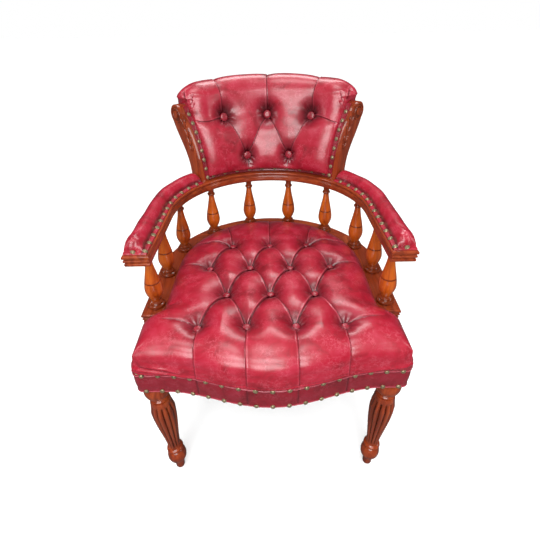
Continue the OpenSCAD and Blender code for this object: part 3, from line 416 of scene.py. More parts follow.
def metal(name, bright, worn, roughness, metallic=1.0):
    material, tree, shader = newMaterial(name, Metallic=metallic)
    tarnish = noise(tree, objectPlace(tree), 260, 4, 0.65)
    tree.links.new(ramp(tree, tarnish, [(0.35, worn), (0.62, bright)]), shader.inputs["Base Color"])
    tree.links.new(ramp(tree, tarnish, greys((0.3, roughness + 0.2), (0.7, roughness))),
                   shader.inputs["Roughness"])
    bump(tree, shader, tarnish, 0.0002, 0.4)
    return material


def dustCloth(name):
    material, tree, shader = newMaterial(name, Roughness=0.9, Sheen_Weight=0.25)
    threads = {"Vector": objectPlace(tree), "Scale": 260, "Distortion": 0.6}
    weft, warp = (addNode(tree, "ShaderNodeTexWave", threads, bands_direction=k).outputs["Fac"]
                  for k in "XY")
    weave = maths(tree, "MULTIPLY", weft, warp)
    tree.links.new(ramp(tree, weave, [(0.1, (0.010, 0.010, 0.012)), (0.8, (0.040, 0.040, 0.045))]),
                   shader.inputs["Base Color"])
    bump(tree, shader, weave, 0.0003, 0.6)
    return material


finishes = {
    "tufted": leather("crimsonTufted", cavity=True),
    "leather": leather("crimsonHide"),
    # buttons and band are painted darker: shade in the dimples and on the band's upright faces
    "buttonHide": leather("crimsonButton", darker=0.3),
    "bandHide": leather("crimsonBand", cavity=True, darker=0.44),
    "polishedX": wood("polishedAcross", "polished", "X"),
    "polishedY": wood("polishedAlong", "polished", "Y"),
    "polishedZ": wood("polishedUpright", "polished", "Z"),
    "carvedZ": wood("carvedUpright", "polished", "Z", carved=True),
    "amberZ": wood("amberUpright", "amber", "Z"),
    "rawX": wood("beechAcross", "raw", "X"),
    "rawY": wood("beechAlong", "raw", "Y"),
    "brass": metal("antiqueBrass", (0.36, 0.29, 0.165), (0.13, 0.10, 0.055), 0.26, 0.5),
    "steel": metal("zincSteel", (0.66, 0.66, 0.68), (0.45, 0.45, 0.47), 0.28),
    "cloth": dustCloth("blackCloth"),
}
print("materials made:", len(finishes))


# Tufting shared by the seat and the back

def foldPlace(x, y, start, end, bow, lap):
    # a pleat's length, and places along it and across it, with a positive side where its upper leaf lies
    dx, dy = end[0] - start[0], end[1] - start[1]
    length = math.hypot(dx, dy)
    along = ((x - start[0]) * dx + (y - start[1]) * dy) / length ** 2
    across = ((x - start[0]) * -dy + (y - start[1]) * dx) / length * lap
    inside = np.clip(along, 0, 1)
    return length, along, across - bow * 4 * inside * (1 - inside)


def pleatRelief(x, y, start, end, depth, bow, lap, tail):
    # a shaded valley with the rolled edge of the upper leaf on its lap side
    length, along, across = foldPlace(x, y, start, end, bow, lap)
    span = ease((along + 0.02) * length / 0.008) * ease((1.02 - along) * length / tail)
    over = np.maximum(across, 0)
    under = np.exp(np.minimum(across, 0) / 0.015)
    beside = 0.60 * np.exp(-over / 0.017) + 0.40 * hill(over, 0.0011)
    return -depth * span * (np.where(across < 0, under, beside) - 0.16 * hill(across - 0.0021, 0.0012))


def pleatEdges(x, y, lines, place, width, share):
    # up to 1 beside the folds: share gives each one's strength from its depth factor
    edges = []
    for start, end, factor, bow, lap in lines:
        length, along, across = foldPlace(x, y, start, end, bow, lap)
        span = ease((along - 0.04) * length / 0.010) * ease((0.97 - along) * length / 0.012)
        edges.append(share(factor) * span * hill(across - place, width))
    return np.stack(edges).max(axis=0)


def dimpleRelief(x, y, spot, look):
    r, reach = np.hypot(x - spot[0], y - spot[1]), look["dimpleReach"]
    return -look["dimpleDepth"] * (0.62 * hill(r, reach) + 0.38 * hill(r, reach * 0.45))


def puckers(x, y, spot, seed, count, height):
    # short creases that run out from a button
    dx, dy = x - spot[0], y - spot[1]
    turn = np.arctan2(dy, dx)
    wave = np.sin(turn * count + seed * 2.1) * 0.6 + np.sin(turn * (count + 3) + seed * 4.7) * 0.4
    return height * wave * hill(np.hypot(dx, dy) - 0.013, 0.011)


def wavered(x, y, look):
    # the places that the pleats follow, which aren't quite straight
    size, (seedX, scaleX), (seedY, scaleY) = look["waver"]
    return x + size * ripple(x, y, seedX, scaleX), y + size * ripple(x, y, seedY, scaleY)


def tuftRelief(x, y, lines, spots, look):
    # the pleats, and the dimples with their creases. Where pleats cross the deeper one rules.
    wx, wy = wavered(x, y, look)
    stack = np.stack([pleatRelief(wx, wy, a, b, look["pleatDepth"] * f, bow, lap,
                                  0.008 if f == 1 else look["looseTail"]) for a, b, f, bow, lap in lines])
    low = stack.min(axis=0)
    dimples = np.stack([dimpleRelief(x, y, s, look) for s in spots]).min(axis=0)
    seed, count, height = look["puckers"]
    small = sum(puckers(x, y, s, i + seed, count + i % 3, height) for i, s in enumerate(spots))
    return low + 0.25 * (stack.sum(axis=0) - low), dimples + small


def coverMesh(name, base, faces, relief, paintedShade, worn=None):
    # points about the horseshoe's centre, pushed along their normals by a relief
    base = base + [0, chair["centreY"], 0]
    piece = meshPiece(name, base, faces)
    mesh = piece.data
    mesh.update()
    normals = np.zeros(len(base) * 3)
    mesh.vertices.foreach_get("normal", normals)
    mesh.vertices.foreach_set("co", (base + normals.reshape(-1, 3) * relief[:, None]).ravel())
    # point attributes: painted shade, and wear with a painted highlight
    for mark, values in (("paintedShade", paintedShade), ("worn", worn)):
        if values is not None:
            data = mesh.attributes.new(mark, "FLOAT", "POINT").data
            data.foreach_set("value", np.clip(values, 0, 1).astype(np.float32))
    mesh.update()
    return piece


# Seat cushion: leather over the seat, with a skirt down to the upper nail row

seat = {
    "crown": 0.086,            # above the leather band
    "wide": 0.269,             # half width above the skirt
    "edgeZ": 0.429,            # where the roll turns down into the skirt
    "bowEdgeZ": 0.4472,        # the same on the lower bow
    "roundWidth": 0.085,
    "corner": 0.012,
    "pitch": 0.098,            # of the buttons in a row
    "rowPitch": 0.102,
    "rowOne": -0.229,          # place of the front row
    "rows": 4,
    "cellsAcross": 380,
    "cellsDeep": 360,
    "bowEnd": -0.1684,         # front of the lower bow
    "overBow": 0.2305,         # radius of the cushion's edge on the bow
    "insideBow": 0.2274,
    "cornerAngle": 40,
    "skirtRows": 22,
    # steps of the skirt. Ahead of the bow: outwards, spread of the sides, height. On the bow: share of
    # the way to its inside, height. Last: how far the drawn-in sides have come back out.
    "skirt": [(0.0008, 0.0020, 0.4245, 0.35, 0.4464, 0.20), (0.0013, 0.0038, 0.4205, 0.8, 0.4457, 0.45),
              (0.0014, 0.0056, 0.4160, 1.0, 0.4440, 0.68), (0.0012, 0.0072, 0.4115, 1.0, 0.4400, 0.85),
              (0.0007, 0.0084, 0.4070, 1.0, 0.4340, 0.95), (0.0000, 0.0092, 0.4030, 1.0, 0.4270, 1.0),
              (-0.0012, 0.0098, 0.3998, 1.0, 0.4190, 1.0), (-0.0024, 0.0100, 0.3975, 1.0, 0.4110, 1.0),
              (-0.0034, 0.0100, 0.3955, 1.0, 0.4030, 1.0), (-0.0060, 0.0100, 0.3948, 1.0, 0.3990, 1.0)],
    "foot": 0.3965,            # below it no relief shows
    "rimZ": 0.3996,            # the rubbed rim of the turned-in edge: wear and a painted highlight
    "rimLineZ": 0.4026,        # the painted dark line of shade over it
    # loose folds over the nails at the front corners: x and z of both ends, height
    "folds": [(-0.279, 0.418, -0.150, 0.400, 0.0042), (-0.279, 0.409, -0.190, 0.399, 0.0030),
              (-0.272, 0.432, -0.170, 0.410, 0.0030), (0.279, 0.416, 0.180, 0.402, 0.0028)],
    "pleatDepth": 0.0085,
    "dimpleDepth": 0.0195,
    "dimpleReach": 0.030,
    "looseTail": 0.04,
    "puckers": (0, 7, 0.0009),             # first seed, fewest creases, height
    "waver": (0.0014, (3, 38), (5, 34)),   # size, and seed and scale of the ripples across and along
}


def seatSpots():
    spots = []
    for row in range(seat["rows"]):
        for column in (-1.5, -0.5, 0.5, 1.5) if row % 2 == 0 else (-1, 0, 1):
            spots.append((column * seat["pitch"], seat["rowOne"] + row * seat["rowPitch"]))
    return spots


def seatPleats():
    # (start, end, depth factor, bow, lap) in plan
    p, q, rowOne = seat["pitch"], seat["rowPitch"], seat["rowOne"]
    lines = []
    for a in seatSpots():
        for b in seatSpots():
            if abs(b[1] - a[1] - q) < 1e-6 and abs(abs(b[0] - a[0]) - p / 2) < 1e-6:
                lines.append((a, b, 1.0, 0.002 if b[0] > a[0] else -0.002, 1))
    for x in (-1.5 * p, -0.5 * p, 0.5 * p, 1.5 * p):
        lines.append(((x, rowOne), (x * 1.01, rowOne - 0.16), 0.62, 0, 1 if x < 0 else -1))
        if abs(x) > p:
            side, third = math.copysign(1, x), rowOne + 2 * q
            lines.append(((x, rowOne), (x + side * 0.085, rowOne + 0.012), 0.55, 0.006, side))
            lines.append(((x, third), (x + side * 0.075, third + 0.004), 0.8, 0.008, side))
    last = rowOne + (seat["rows"] - 1) * q
    for x in (-p, 0, p):
        lines.append(((x, last), (x * 1.25, last + 0.16 - abs(x) * 0.5), 0.8, 0, 1 if x <= 0 else -1))
        if x:
            side = math.copysign(1, x)
            lines.append(((x, last), (x + side * 0.11, last + 0.004), 0.8, 0.01, side))
    return lines


def seatEdge(y):
    # half width of the cushion at its edge
    arc = np.sqrt(np.maximum(seat["overBow"] ** 2 - np.maximum(y, 0) ** 2, 0))
    front = seat["wide"] + (seat["overBow"] - seat["wide"]) * ease((y + 0.206) / 0.044)
    return np.where(y > 0, arc, front)


def packed(n):
    # shares along a side, closer together near its ends, where the roll turns down
    t = np.linspace(0, 1, n + 1)
    gaps = 1 - 0.97 * (hill(t[1:], 0.03) + hill(1 - t[:-1], 0.03))
    return np.concatenate([[0], np.cumsum(gaps)]) / gaps.sum()


def seatPlan():
    # a net of points in plan between the cushion's four edges
    u, v = packed(seat["cellsAcross"]), packed(seat["cellsDeep"])
    corner, wide, end = seat["corner"], seat["wide"], math.radians(seat["cornerAngle"])
    x = (2 * u - 1) * (wide - corner * 0.35)
    cut = ease((np.abs(x) - (wide - corner * 1.6)) / (corner * 1.25)) * corner * 0.42
    front = np.stack([x, frontY(x) - 0.002 + cut], 1)
    back = polar(seat["overBow"], math.pi - end - u * (math.pi - 2 * end))
    straight = chair["seatFront"] + 0.002 - corner * 0.42
    s = v * (straight + seat["overBow"] * end) - straight
    y = np.where(s < 0, s, seat["overBow"] * np.sin(np.maximum(s, 0) / seat["overBow"]))
    right = np.stack([seatEdge(y) - corner * 0.35 * (1 - ease((y + straight) / (corner * 1.1))), y], 1)
    right[0], right[-1] = front[-1], back[-1]
    left = right * [-1, 1]
    u, v = u[None, :, None], v[:, None, None]
    return ((1 - v) * front[None] + v * back[None] + (1 - u) * left[:, None] + u * right[:, None]
            - (1 - u) * (1 - v) * front[0] - u * (1 - v) * front[-1]
            - (1 - u) * v * back[0] - u * v * back[-1]).reshape(-1, 2)


def seatRun(x, y):
    # distance in from the cushion's edge, with no ridge where the side and the front meet
    side = np.maximum(seatEdge(y) - np.abs(x), 1e-5)
    front = np.maximum((y - frontY(x) + 0.002) * 0.97, 1e-5)
    back = np.where(y > 0, seat["overBow"] - np.hypot(x, y), 1)
    return np.maximum(np.minimum((side ** -2.5 + front ** -2.5) ** -0.4, back), 0)


def makeSkirt(edge):
    # rows of points down from the cushion's edge
    xy = edge[:, :2]
    inFront = xy[:, 1] < seat["bowEnd"]
    outward = outwardFrom(xy)
    inner = np.where(xy[:, 1:] > 0, xy / np.linalg.norm(xy, axis=1, keepdims=True) * seat["insideBow"],
                     np.stack([np.sign(xy[:, 0]) * seat["insideBow"], xy[:, 1]], 1))
    inner[~inFront & (np.roll(inFront, 1) | np.roll(inFront, -1)), 1] = seat["bowEnd"]
    drawnIn = np.maximum(seat["wide"] - np.abs(xy[:, 0]), 0) * np.sign(xy[:, 0])
    drawnIn *= (xy[:, 1] > 0.03 - chair["seatFront"]) & inFront
    steps = np.array(seat["skirt"])
    rows = []
    for row in np.linspace(0, len(steps) - 1, seat["skirtRows"]):
        out, spread, zFront, t, zRear, share = (np.interp(row, range(len(steps)), c) for c in steps.T)
        front = xy + outward * out
        front[:, 0] = (front[:, 0] + drawnIn * share) * (1 + spread / seat["wide"])
        rows.append(np.column_stack([np.where(inFront[:, None], front, xy + (inner - xy) * t),
                                     np.where(inFront, zFront, zRear)]))
    return rows


def makeSeatCushion():
    w, h = seat["cellsAcross"], seat["cellsDeep"]
    plan = seatPlan()
    run = seatRun(*plan.T)
    onBow = ease((plan[:, 1] + 0.204) / 0.038)
    low = seat["edgeZ"] + (seat["bowEdgeZ"] - seat["edgeZ"]) * onBow
    high = chair["bandZ"] + seat["crown"]
    rise = quarterRound(run / seat["roundWidth"]) ** (0.8 + 0.16 * onBow)
    top = np.column_stack([plan, low + (high - low) * rise])
    ring = netRing(w, h)
    base = np.vstack([top] + makeSkirt(top[ring]) + [[[0, -0.05, 0.397]]])
    n, m, tip = len(ring), len(top), len(base) - 1
    faces = netFaces(h + 1, w + 1)
    faces += [(ring[q], m + q, m + (q + 1) % n, ring[(q + 1) % n]) for q in range(n)]
    faces += netFaces(seat["skirtRows"], n, m, closed=True, flipped=True)
    faces += [(tip - n + q, tip, tip - n + (q + 1) % n) for q in range(n)]
    x, y, z = base.T
    onTop = np.arange(len(base)) < m
    lines = seatPleats()
    pleats, dimples = tuftRelief(x, y, lines, seatSpots(), seat)
    swell = 0.0009 * ripple(x, y, 11, 22) + 0.0004 * ripple(x, y, 17, 70)
    onLeather = ease((z - seat["foot"]) / 0.012)
    relief = np.where(onTop, pleats + dimples + swell, (pleats * 0.8 + swell * 0.6) * onLeather)
    relief[:m] *= 1 - 0.85 * onBow * ease(1 - run / 0.02)
    relief[~onTop & (y > seat["bowEnd"])] = 0
    creased = np.zeros(len(base))
    for xa, za, xb, zb, lift in seat["folds"]:
        t = np.clip((x - xa) / (xb - xa), 0, 1)
        over = z - (za + (zb - za) * t)
        strength = (y < -0.24) * (z < 0.45) * np.sin(math.pi * np.clip(t, 0.02, 0.98)) ** 0.6
        relief += strength * lift * hill(over, np.where(over > 0, 0.0050, 0.0022))
        # painted shadow in a line just under each fold
        creased = np.maximum(creased, 0.6 * strength * hill(over + 0.0032, 0.0014))
    # the turned-in edge along the nails: a rubbed rim with a painted highlight under a painted line of shade
    rimmed = (y < seat["bowEnd"]) & ~onTop
    creased = np.maximum(creased, 0.45 * rimmed * hill(z - seat["rimLineZ"], 0.0010))
    # painted shade along the pleat lines; beside them pale rims of wear and painted highlight
    place = wavered(x, y, seat)
    folds = pleatEdges(*place, lines, 0.0002, 0.0012, lambda f: 0.65 if f == 1 else 0.325) * onLeather
    rims = pleatEdges(*place, lines, 0.0028, 0.0009, lambda f: 0.5 if f == 1 else 0.25) * onLeather
    # painted shade: darker the deeper the relief lies, along the pleats and under the folds
    paintedShade = np.maximum(folds - (relief - 0.001) / 0.027, creased)
    worn = np.maximum(rims, 0.75 * rimmed * hill(z - seat["rimZ"], 0.0013))
    piece = coverMesh("seatCushion", base, faces, relief, paintedShade, worn)
    dress(piece, "tufted", "seat_cushion", 75)
    return piece


seatCushion = makeSeatCushion()
print("seat cushion:", len(seatCushion.data.polygons), "faces")


# Leather band round the frame, its edges rolled along the nail rows

band = {
    "top": 0.3975,
    "rearTop": 0.4195,         # under the lower bow
    "bottom": 0.3452,
    "corner": 0.014,
    "nailPitch": 0.032,
    "columns": 1100,
    # share of the height, outwards
    "profile": [(1.0, -0.0019), (1.0, -0.0006), (0.997, 0.0003), (0.985, 0.0010), (0.965, 0.0011),
                (0.945, 0.0005), (0.925, 0.0001), (0.86, 0.0004), (0.74, 0.0010), (0.60, 0.0013),
                (0.46, 0.0012), (0.30, 0.0009), (0.16, 0.0004), (0.085, 0.0001), (0.06, 0.0005),
                (0.035, 0.0011), (0.015, 0.0010), (0.003, 0.0003), (0.0, -0.0006), (0.0, -0.0019)],
}


def bandPath(n):
    # once round the frame's outer face from the middle of the front: points and places along it
    half, r = chair["halfWidth"], band["corner"]
    x = np.linspace(0, half - r, 160)
    corner = polar(r, np.radians(np.linspace(-90, 0, 24)[1:])) + [half - r, r - chair["seatFront"]]
    rear = polar(half, np.radians(np.linspace(0, 90, 90)))
    rightHalf = np.vstack([np.stack([x, frontY(x)], 1), corner, rear])
    path = np.vstack([rightHalf, (rightHalf * [-1, 1])[::-1][1:-1], rightHalf[:1]])
    s = np.linspace(0, lengths(path)[-1], n + 1)[:-1]
    return alongLine(path, s), s


def makeSeatBand():
    n = band["columns"]
    points, s = bandPath(n)
    outward = outwardFrom(points)
    x, y = points.T
    behind = y > seat["bowEnd"]
    top = np.where(behind, band["rearTop"], band["top"])
    # between nails the edges sag a little and stand away from the frame
    phase = np.where(y < -0.272, x, np.where(y < -0.12, y + chair["seatFront"], s)) / band["nailPitch"]
    between = np.sin(math.pi * phase) ** 2
    rise, loose = between * 0.0009, between * 0.0005
    pleats = sum(hill(x - px, 0.0013) + 0.3 * hill(x - px, 0.005) for px in (-0.148, -0.049, 0.049, 0.148))
    pleats = pleats * (y < -0.27)
    rows, worn = [], []
    for t, out in band["profile"]:
        onEdge = t > 0.9 or t < 0.1
        z = band["bottom"] + (top - band["bottom"]) * t
        z = z + (-rise * ~behind if t > 0.9 else rise * (t < 0.1))
        crease = pleats * (0.0013 if 0.05 < t < 0.95 else 0.0006)
        push = out + (loose if onEdge else 0.0004 * ripple(x * 1.3 + y, z, 4, 60)) - crease
        rows.append(np.column_stack([points + outward * push[:, None], z]))
        # pale rolled edges along the nail rows: wear with a painted highlight
        worn.append(np.full(n, 0.8 * hill(min(1 - t, t) - 0.030, 0.022)))
    base = np.vstack(rows)
    # painted shade in the band's pleats
    paintedShade = np.tile(np.clip(pleats, 0, 1) * 0.55, len(rows))
    faces = netFaces(len(rows), n, closed=True, looped=True, flipped=True)
    piece = coverMesh("seatBand", base, faces, np.zeros(len(base)), paintedShade, np.concatenate(worn))
    cleanNormals(piece)
    dress(piece, "bandHide", "seat_band", 80)


makeSeatBand()
print("seat band made")


# Brass nails and covered buttons, on the places that the frame gives them

nail = {
    "name": "nailHead", "radius": 0.0051, "height": 0.0034, "sides": 18,
    "profile": [(0, 0), (0.96, 0), (1, 0.12), (0.93, 0.38), (0.74, 0.72), (0.42, 0.94), (0, 1)],
    # node: name, lift along the axis, lean towards the middle of the chair
    "rows": {
        "seat_nails_upper": ("seatNailsUpper", 0.0012, 0),
        "seat_nails_lower": ("seatNailsLower", 0.0002, 0),
        "arm_nails_left": ("armNailsLeft", 0, 0.45),
        "arm_nails_right": ("armNailsRight", 0, 0.45),
        "back_nails": ("backNails", 0, 0),
        "outside_nails": ("outsideNails", 0, 0),
    },
}
button = {
    "name": "coveredButton", "radius": 0.0078, "height": 0.0052, "sides": 40,
    "profile": [(0, 0), (0.45, 0), (0.9, 0.22), (1, 0.40), (0.99, 0.52), (0.93, 0.68), (0.80, 0.83),
                (0.6, 0.94), (0.35, 0.995), (0, 1)],
    "gather": 0.00022,
}


def headModel(look):
    profile = [(r * look["radius"], z * look["height"]) for r, z in look["profile"]]
    return turned(look["name"], profile, look["sides"])


def aimed(place, direction, spin=0.0):
    # a head's matrix: its axis along a direction, and turned about it
    turn = direction.normalized().to_track_quat("Z", "Y").to_matrix().to_4x4()
    return Matrix.Translation(place) @ turn @ Matrix.Rotation(spin, 4, "Z")


def manyHeads(model, name, places, finish, node):
    piece = joinPieces([copyOf(model, f"{name}_{k}", matrix) for k, matrix in enumerate(places)], name)
    dress(piece, finish, node, 60)


def islands(mesh):
    # the loose parts of a mesh, as arrays of points
    co = np.zeros(len(mesh.vertices) * 3)
    mesh.vertices.foreach_get("co", co)
    keys, index = np.unique(np.round(co.reshape(-1, 3), 6), axis=0, return_inverse=True)
    index = index.ravel()
    parent = list(range(len(keys)))

    def root(a):
        while parent[a] != a:
            parent[a] = parent[parent[a]]
            a = parent[a]
        return a

    for face in mesh.polygons:
        first = root(index[face.vertices[0]])
        for v in face.vertices[1:]:
            other = root(index[v])
            if other != first:
                parent[other] = first
    groups = {}
    for k in range(len(keys)):
        groups.setdefault(root(k), []).append(k)
    return [keys[g] for g in groups.values()]


def headPlaces(node):
    # (foot of the head's axis, direction) of each nail of a CAD node
    places = []
    for points in islands(nodes[node].data):
        centre = points.mean(axis=0)
        axes = np.linalg.svd(points - centre)[2]
        axis = axes[int(np.argmin([np.ptp((points - centre) @ a) for a in axes]))]
        heights = (points - centre) @ axis
        across = np.linalg.norm((points - centre) - heights[:, None] * axis, axis=1)
        rim = heights[across > across.max() * 0.97].mean()
        if heights.max() - rim < rim - heights.min():
            axis, heights = -axis, -heights
        places.append((Vector(centre + axis * heights.min()), Vector(axis)))
    return places


def nailPlaces(node, lift, lean):
    for k, (foot, axis) in enumerate(headPlaces(node)):
        foot = foot + axis * lift
        inward = Vector((-foot.x, -max(foot.y, 0), 0)).normalized()
        tilt = Matrix.Rotation(math.radians(4 * math.sin(k * 2.3)), 4, "X")
        yield aimed(foot, axis + inward * lean) @ tilt @ Matrix.Rotation(k * 1.9, 4, "Z")


nailModel = headModel(nail)
for node, (name, lift, lean) in nail["rows"].items():
    manyHeads(nailModel, name, nailPlaces(node, lift, lean), "brass", node)
bpy.data.objects.remove(nailModel)
print("nails driven")

buttonHead = headModel(button)
for vertex in buttonHead.data.vertices:
    # the leather gathers a little round the rim
    reach = math.hypot(vertex.co.x, vertex.co.y) / button["radius"]
    turn = math.atan2(vertex.co.y, vertex.co.x)
    vertex.co.z -= button["gather"] * reach ** 3 * (math.sin(turn * 9) + 0.6 * math.sin(turn * 14 + 1))


def seatButtonPlaces():
    for k, (x, y) in enumerate(seatSpots()):
        place = seatCushion.ray_cast(Vector((x, y + chair["centreY"], 2)), Vector((0, 0, -1)))[1]
        yield aimed(place + Vector((0, 0, 0.0006)), Vector((0, -0.16 if y < -0.2 else -0.05, 1)), k * 1.3)


manyHeads(buttonHead, "seatButtons", list(seatButtonPlaces()), "buttonHide", "seat_buttons")
print("seat buttons sewn")


# Arm pads: a nailed flange along the inner edge and a crowned pad behind it

pad = {
    "flange": 0.0032,
    "start": 0.0088,           # of the padding, from the front end
    "frontRound": 0.019,       # its rise behind the flange, and its fall at the post
    "rearRound": 0.016,
    "front": -0.1925,          # front end
    "last": 41.2,              # degrees round the back where the pad meets the post
    "rings": 210,
    "points": 46,
    # section across the arm: distance from its inner edge, height above the wood
    "section": [(0.0022, 0.0003), (0.0014, 0.0016), (0.0018, 0.0030), (0.0034, 0.0040), (0.0058, 0.0036),
                (0.0082, 0.0034), (0.0098, 0.0040), (0.0106, 0.0075), (0.0122, 0.0130), (0.0155, 0.0190),
                (0.0205, 0.0238), (0.0265, 0.0261), (0.0325, 0.0256), (0.0378, 0.0226), (0.0422, 0.0172),
                (0.0450, 0.0108), (0.0463, 0.0050), (0.0460, 0.0018), (0.0455, 0.0003)],
    # distances from the front end, and from the rear end
    "firstRings": [0, 0.0006, 0.002, 0.0042, 0.0068, 0.0085, 0.0096, 0.0104, 0.012, 0.0145, 0.018,
                   0.0225, 0.028],
    "lastRings": [0.0085, 0.0055, 0.003, 0.0012, 0],
}


def padOutline():
    points = np.array(pad["section"])
    smooth = alongLine(points, np.linspace(0, lengths(points)[-1], pad["points"]))
    for _ in range(2):
        smooth[1:-1] = 0.25 * smooth[:-2] + 0.5 * smooth[1:-1] + 0.25 * smooth[2:]
    return smooth.T


def padRing(s, total, side, across, height):
    # the section s metres back from the front end, and the relief on it
    rise = quarterRound((s - pad["start"]) / pad["frontRound"]) ** 0.9
    lift = rise * (0.55 + 0.45 * quarterRound((total - s) / pad["rearRound"]))
    tuck = 1 - ease(s / 0.004)
    z = np.where(height > pad["flange"], pad["flange"] + (height - pad["flange"]) * lift, height)
    z = np.where(height > 0.001, z + 0.0009 * hill(s - 0.0014, 0.0016) - 0.002 * tuck ** 3, z)
    narrow = 0.0012 * tuck ** 2
    d = np.clip(across, 0.0014 + narrow, 0.0478 - narrow) - 0.0006 * (1 - rise) * (across > 0.03)
    onArc = max(0, s + pad["front"]) / (chair["armInner"] + chair["armWidth"] / 2)
    xy = polar(chair["armInner"] + d, onArc) + [0, min(0, s + pad["front"])]
    crumple = 0.0009 * hill(s - 0.03, 0.02) * np.sin(across * 520 + s * 210)
    gather = 0.0004 * np.sin((s - 0.009) / 0.030 * math.tau) * hill(across - 0.011, 0.004)
    swell = 0.0007 * ripple(np.full(len(d), s), across, 7 + side, 60)
    return np.column_stack([xy, chair["topZ"] + z]), np.where(height > 0.0045, crumple + gather + swell, 0)


def makeArmPad(side, name, node):
    across, height = padOutline()
    total = (chair["armInner"] + chair["armWidth"] / 2) * math.radians(pad["last"]) - pad["front"]
    stations = np.concatenate([pad["firstRings"], np.linspace(0.034, total - 0.012, pad["rings"]),
                               total - np.array(pad["lastRings"])])
    rows, reliefs = zip(*(padRing(s, total, side, across, height) for s in stations))
    n, last = pad["points"], (len(rows) - 1) * pad["points"]
    faces = netFaces(len(rows), n, closed=True) + [tuple(range(n - 1, -1, -1)), tuple(range(last, last + n))]
    if side < 0:
        faces = [tuple(reversed(f)) for f in faces]
    # painted shade in the crease where the padding rises behind the flange
    crease = np.tile(0.75 * hill(across - 0.0102, 0.0016), len(rows))
    piece = coverMesh(name, np.vstack(rows) * [side, 1, 1], faces, np.concatenate(reliefs), crease)
    cleanNormals(piece)
    dress(piece, "tufted", node, 70)


makeArmPad(1, "armPadRight", "arm_pad_right")
makeArmPad(-1, "armPadLeft", "arm_pad_left")
print("arm pads made")


# Back cushion: leather from the bottom rail up the front, over the roll and down behind

back = {
    "crown": 0.025,
    "rollRise": 0.075,
    "scroll": 0.0225,
    "postHalf": 0.0124,        # half a post and a clearance
    "lowRow": 0.31,            # places on the front curve
    "highRow": 0.95,
    "unitAngle": 12.6,         # half the spacing of the upper buttons, in degrees
    "lowUnit": 14.3,
    "foot": 0.075,             # start on the front curve
    "end": -32,                # degrees round the roll
    "frontCells": 165,
    "rollCells": 150,
    "cellsAcross": 330,
    "lining": 0.020,           # radius of the inner side in the roll
    "boardFoot": 0.2397,       # radius of the inner side below the board
    "girth": 0.29,             # radius that turns an angle into a length of leather
    "endRound": 0.048,         # the crown rises over this distance from the ends
    "footRound": 0.045,        # and over this one from the foot
    "crestDrop": 0.010,        # of the roll, at an angle of crestAngle from its middle
    "crestAngle": 38,
    "blendRows": 22,           # rows on each side of the roll's start that are smoothed
    "blendPasses": 110,
    "pleatTop": 0.83,          # end of the pleats, as a share of the way over the roll
    "pleatDepth": 0.0058,
    "dimpleDepth": 0.0215,
    "dimpleReach": 0.030,
    "looseTail": 0.008,
    "puckers": (3, 8, 0.0022),
    "waver": (0.0012, (8, 40), (9, 40)),
    "buttonScale": 1.3,
    "buttonLift": 0.0030,
}
frontCurve = [(0.232, 0.6145), (0.238, 0.670), (0.248, 0.728), (0.2805, 0.773)]
rearCurve = [(0.273, 0.6145), (0.267, 0.6905), (0.3085, 0.7065), (0.3275, 0.773)]


def bezier(curve, t):
    t = np.asarray(t, float)[..., None]
    a, b, c, d = (np.array(p) for p in curve)
    return (1 - t) ** 3 * a + 3 * (1 - t) ** 2 * t * b + 3 * (1 - t) * t ** 2 * c + t ** 3 * d


def endAngle(r):
    # half the opening between the posts' inner faces, in degrees
    return 90 - chair["postAngle"] - np.degrees(np.arcsin(back["postHalf"] / r))


def onBearing(r, degrees, z):
    # degrees are from the middle of the back
    return np.concatenate([polar(r, np.radians(90 - degrees)), z[..., None]], -1)


def backPoint(share, t, psi):
    # share: -1 to 1 across; t up the front curve; psi: degrees round the roll, 180 at its front
    r, z = np.moveaxis(bezier(frontCurve, t), -1, 0)
    inRoll = psi < 180
    rough = np.where(inRoll, chair["scrollRadius"], r)
    end = endAngle(rough)
    s = quarterRound((1 - np.abs(share)) * np.radians(end) * rough / back["endRound"])
    lowRound = quarterRound((z - chair["topZ"] - 0.009) / back["footRound"])
    angle = share * end
    crest = back["crestDrop"] * np.abs(angle / back["crestAngle"]) ** 2.5
    frontAxis = back["scroll"] + 0.004 + back["crown"] * s
    topAxis = back["scroll"] + 0.013 + (back["rollRise"] - crest - back["scroll"] - 0.013) * s
    rearAxis = back["scroll"] + 0.002 + 0.004 * s
    turn = np.radians(psi)
    r = np.where(inRoll, chair["scrollRadius"] + np.where(psi > 90, frontAxis, rearAxis) * np.cos(turn),
                 r - 0.002 - back["crown"] * s * lowRound)
    z = np.where(inRoll, chair["scrollZ"] + np.where(psi > 0, topAxis, rearAxis) * np.sin(turn), z)
    # over the scrolls the leather's ends swell past the posts' inner faces
    over = np.where(inRoll, np.sin(np.clip(turn, 0, math.pi)) ** 2, 0)
    over = over * ease((z - chair["scrollZ"] - 0.028) / 0.008)
    return onBearing(r, angle * (1 + 0.055 * over * np.abs(share) ** 6), z)


def liningPoint(share, t, psi):
    # the inner side: a sheet over the board and the top rail
    r, z = np.moveaxis(bezier(frontCurve, t), -1, 0)
    onBoard = ease((z - chair["topZ"] - 0.030) / 0.008)
    turn, foot = np.radians(psi), back["boardFoot"]
    r = np.where(psi < 180, chair["scrollRadius"] + back["lining"] * np.cos(turn),
                 foot + (r + 0.0097 - foot) * onBoard)
    z = np.where(psi < 180, chair["scrollZ"] + back["lining"] * np.sin(turn), z)
    return onBearing(r, share * endAngle(r), z)


def climbNet(shares, low, roll):
    # nets of shares, of places up the front curve and of degrees round the roll
    t = np.concatenate([np.linspace(back["foot"], 1, low), np.ones(len(roll))])
    share, t = np.meshgrid(shares, t)
    return share, t, np.meshgrid(shares, np.concatenate([np.full(low, 180.0), roll]))[1]


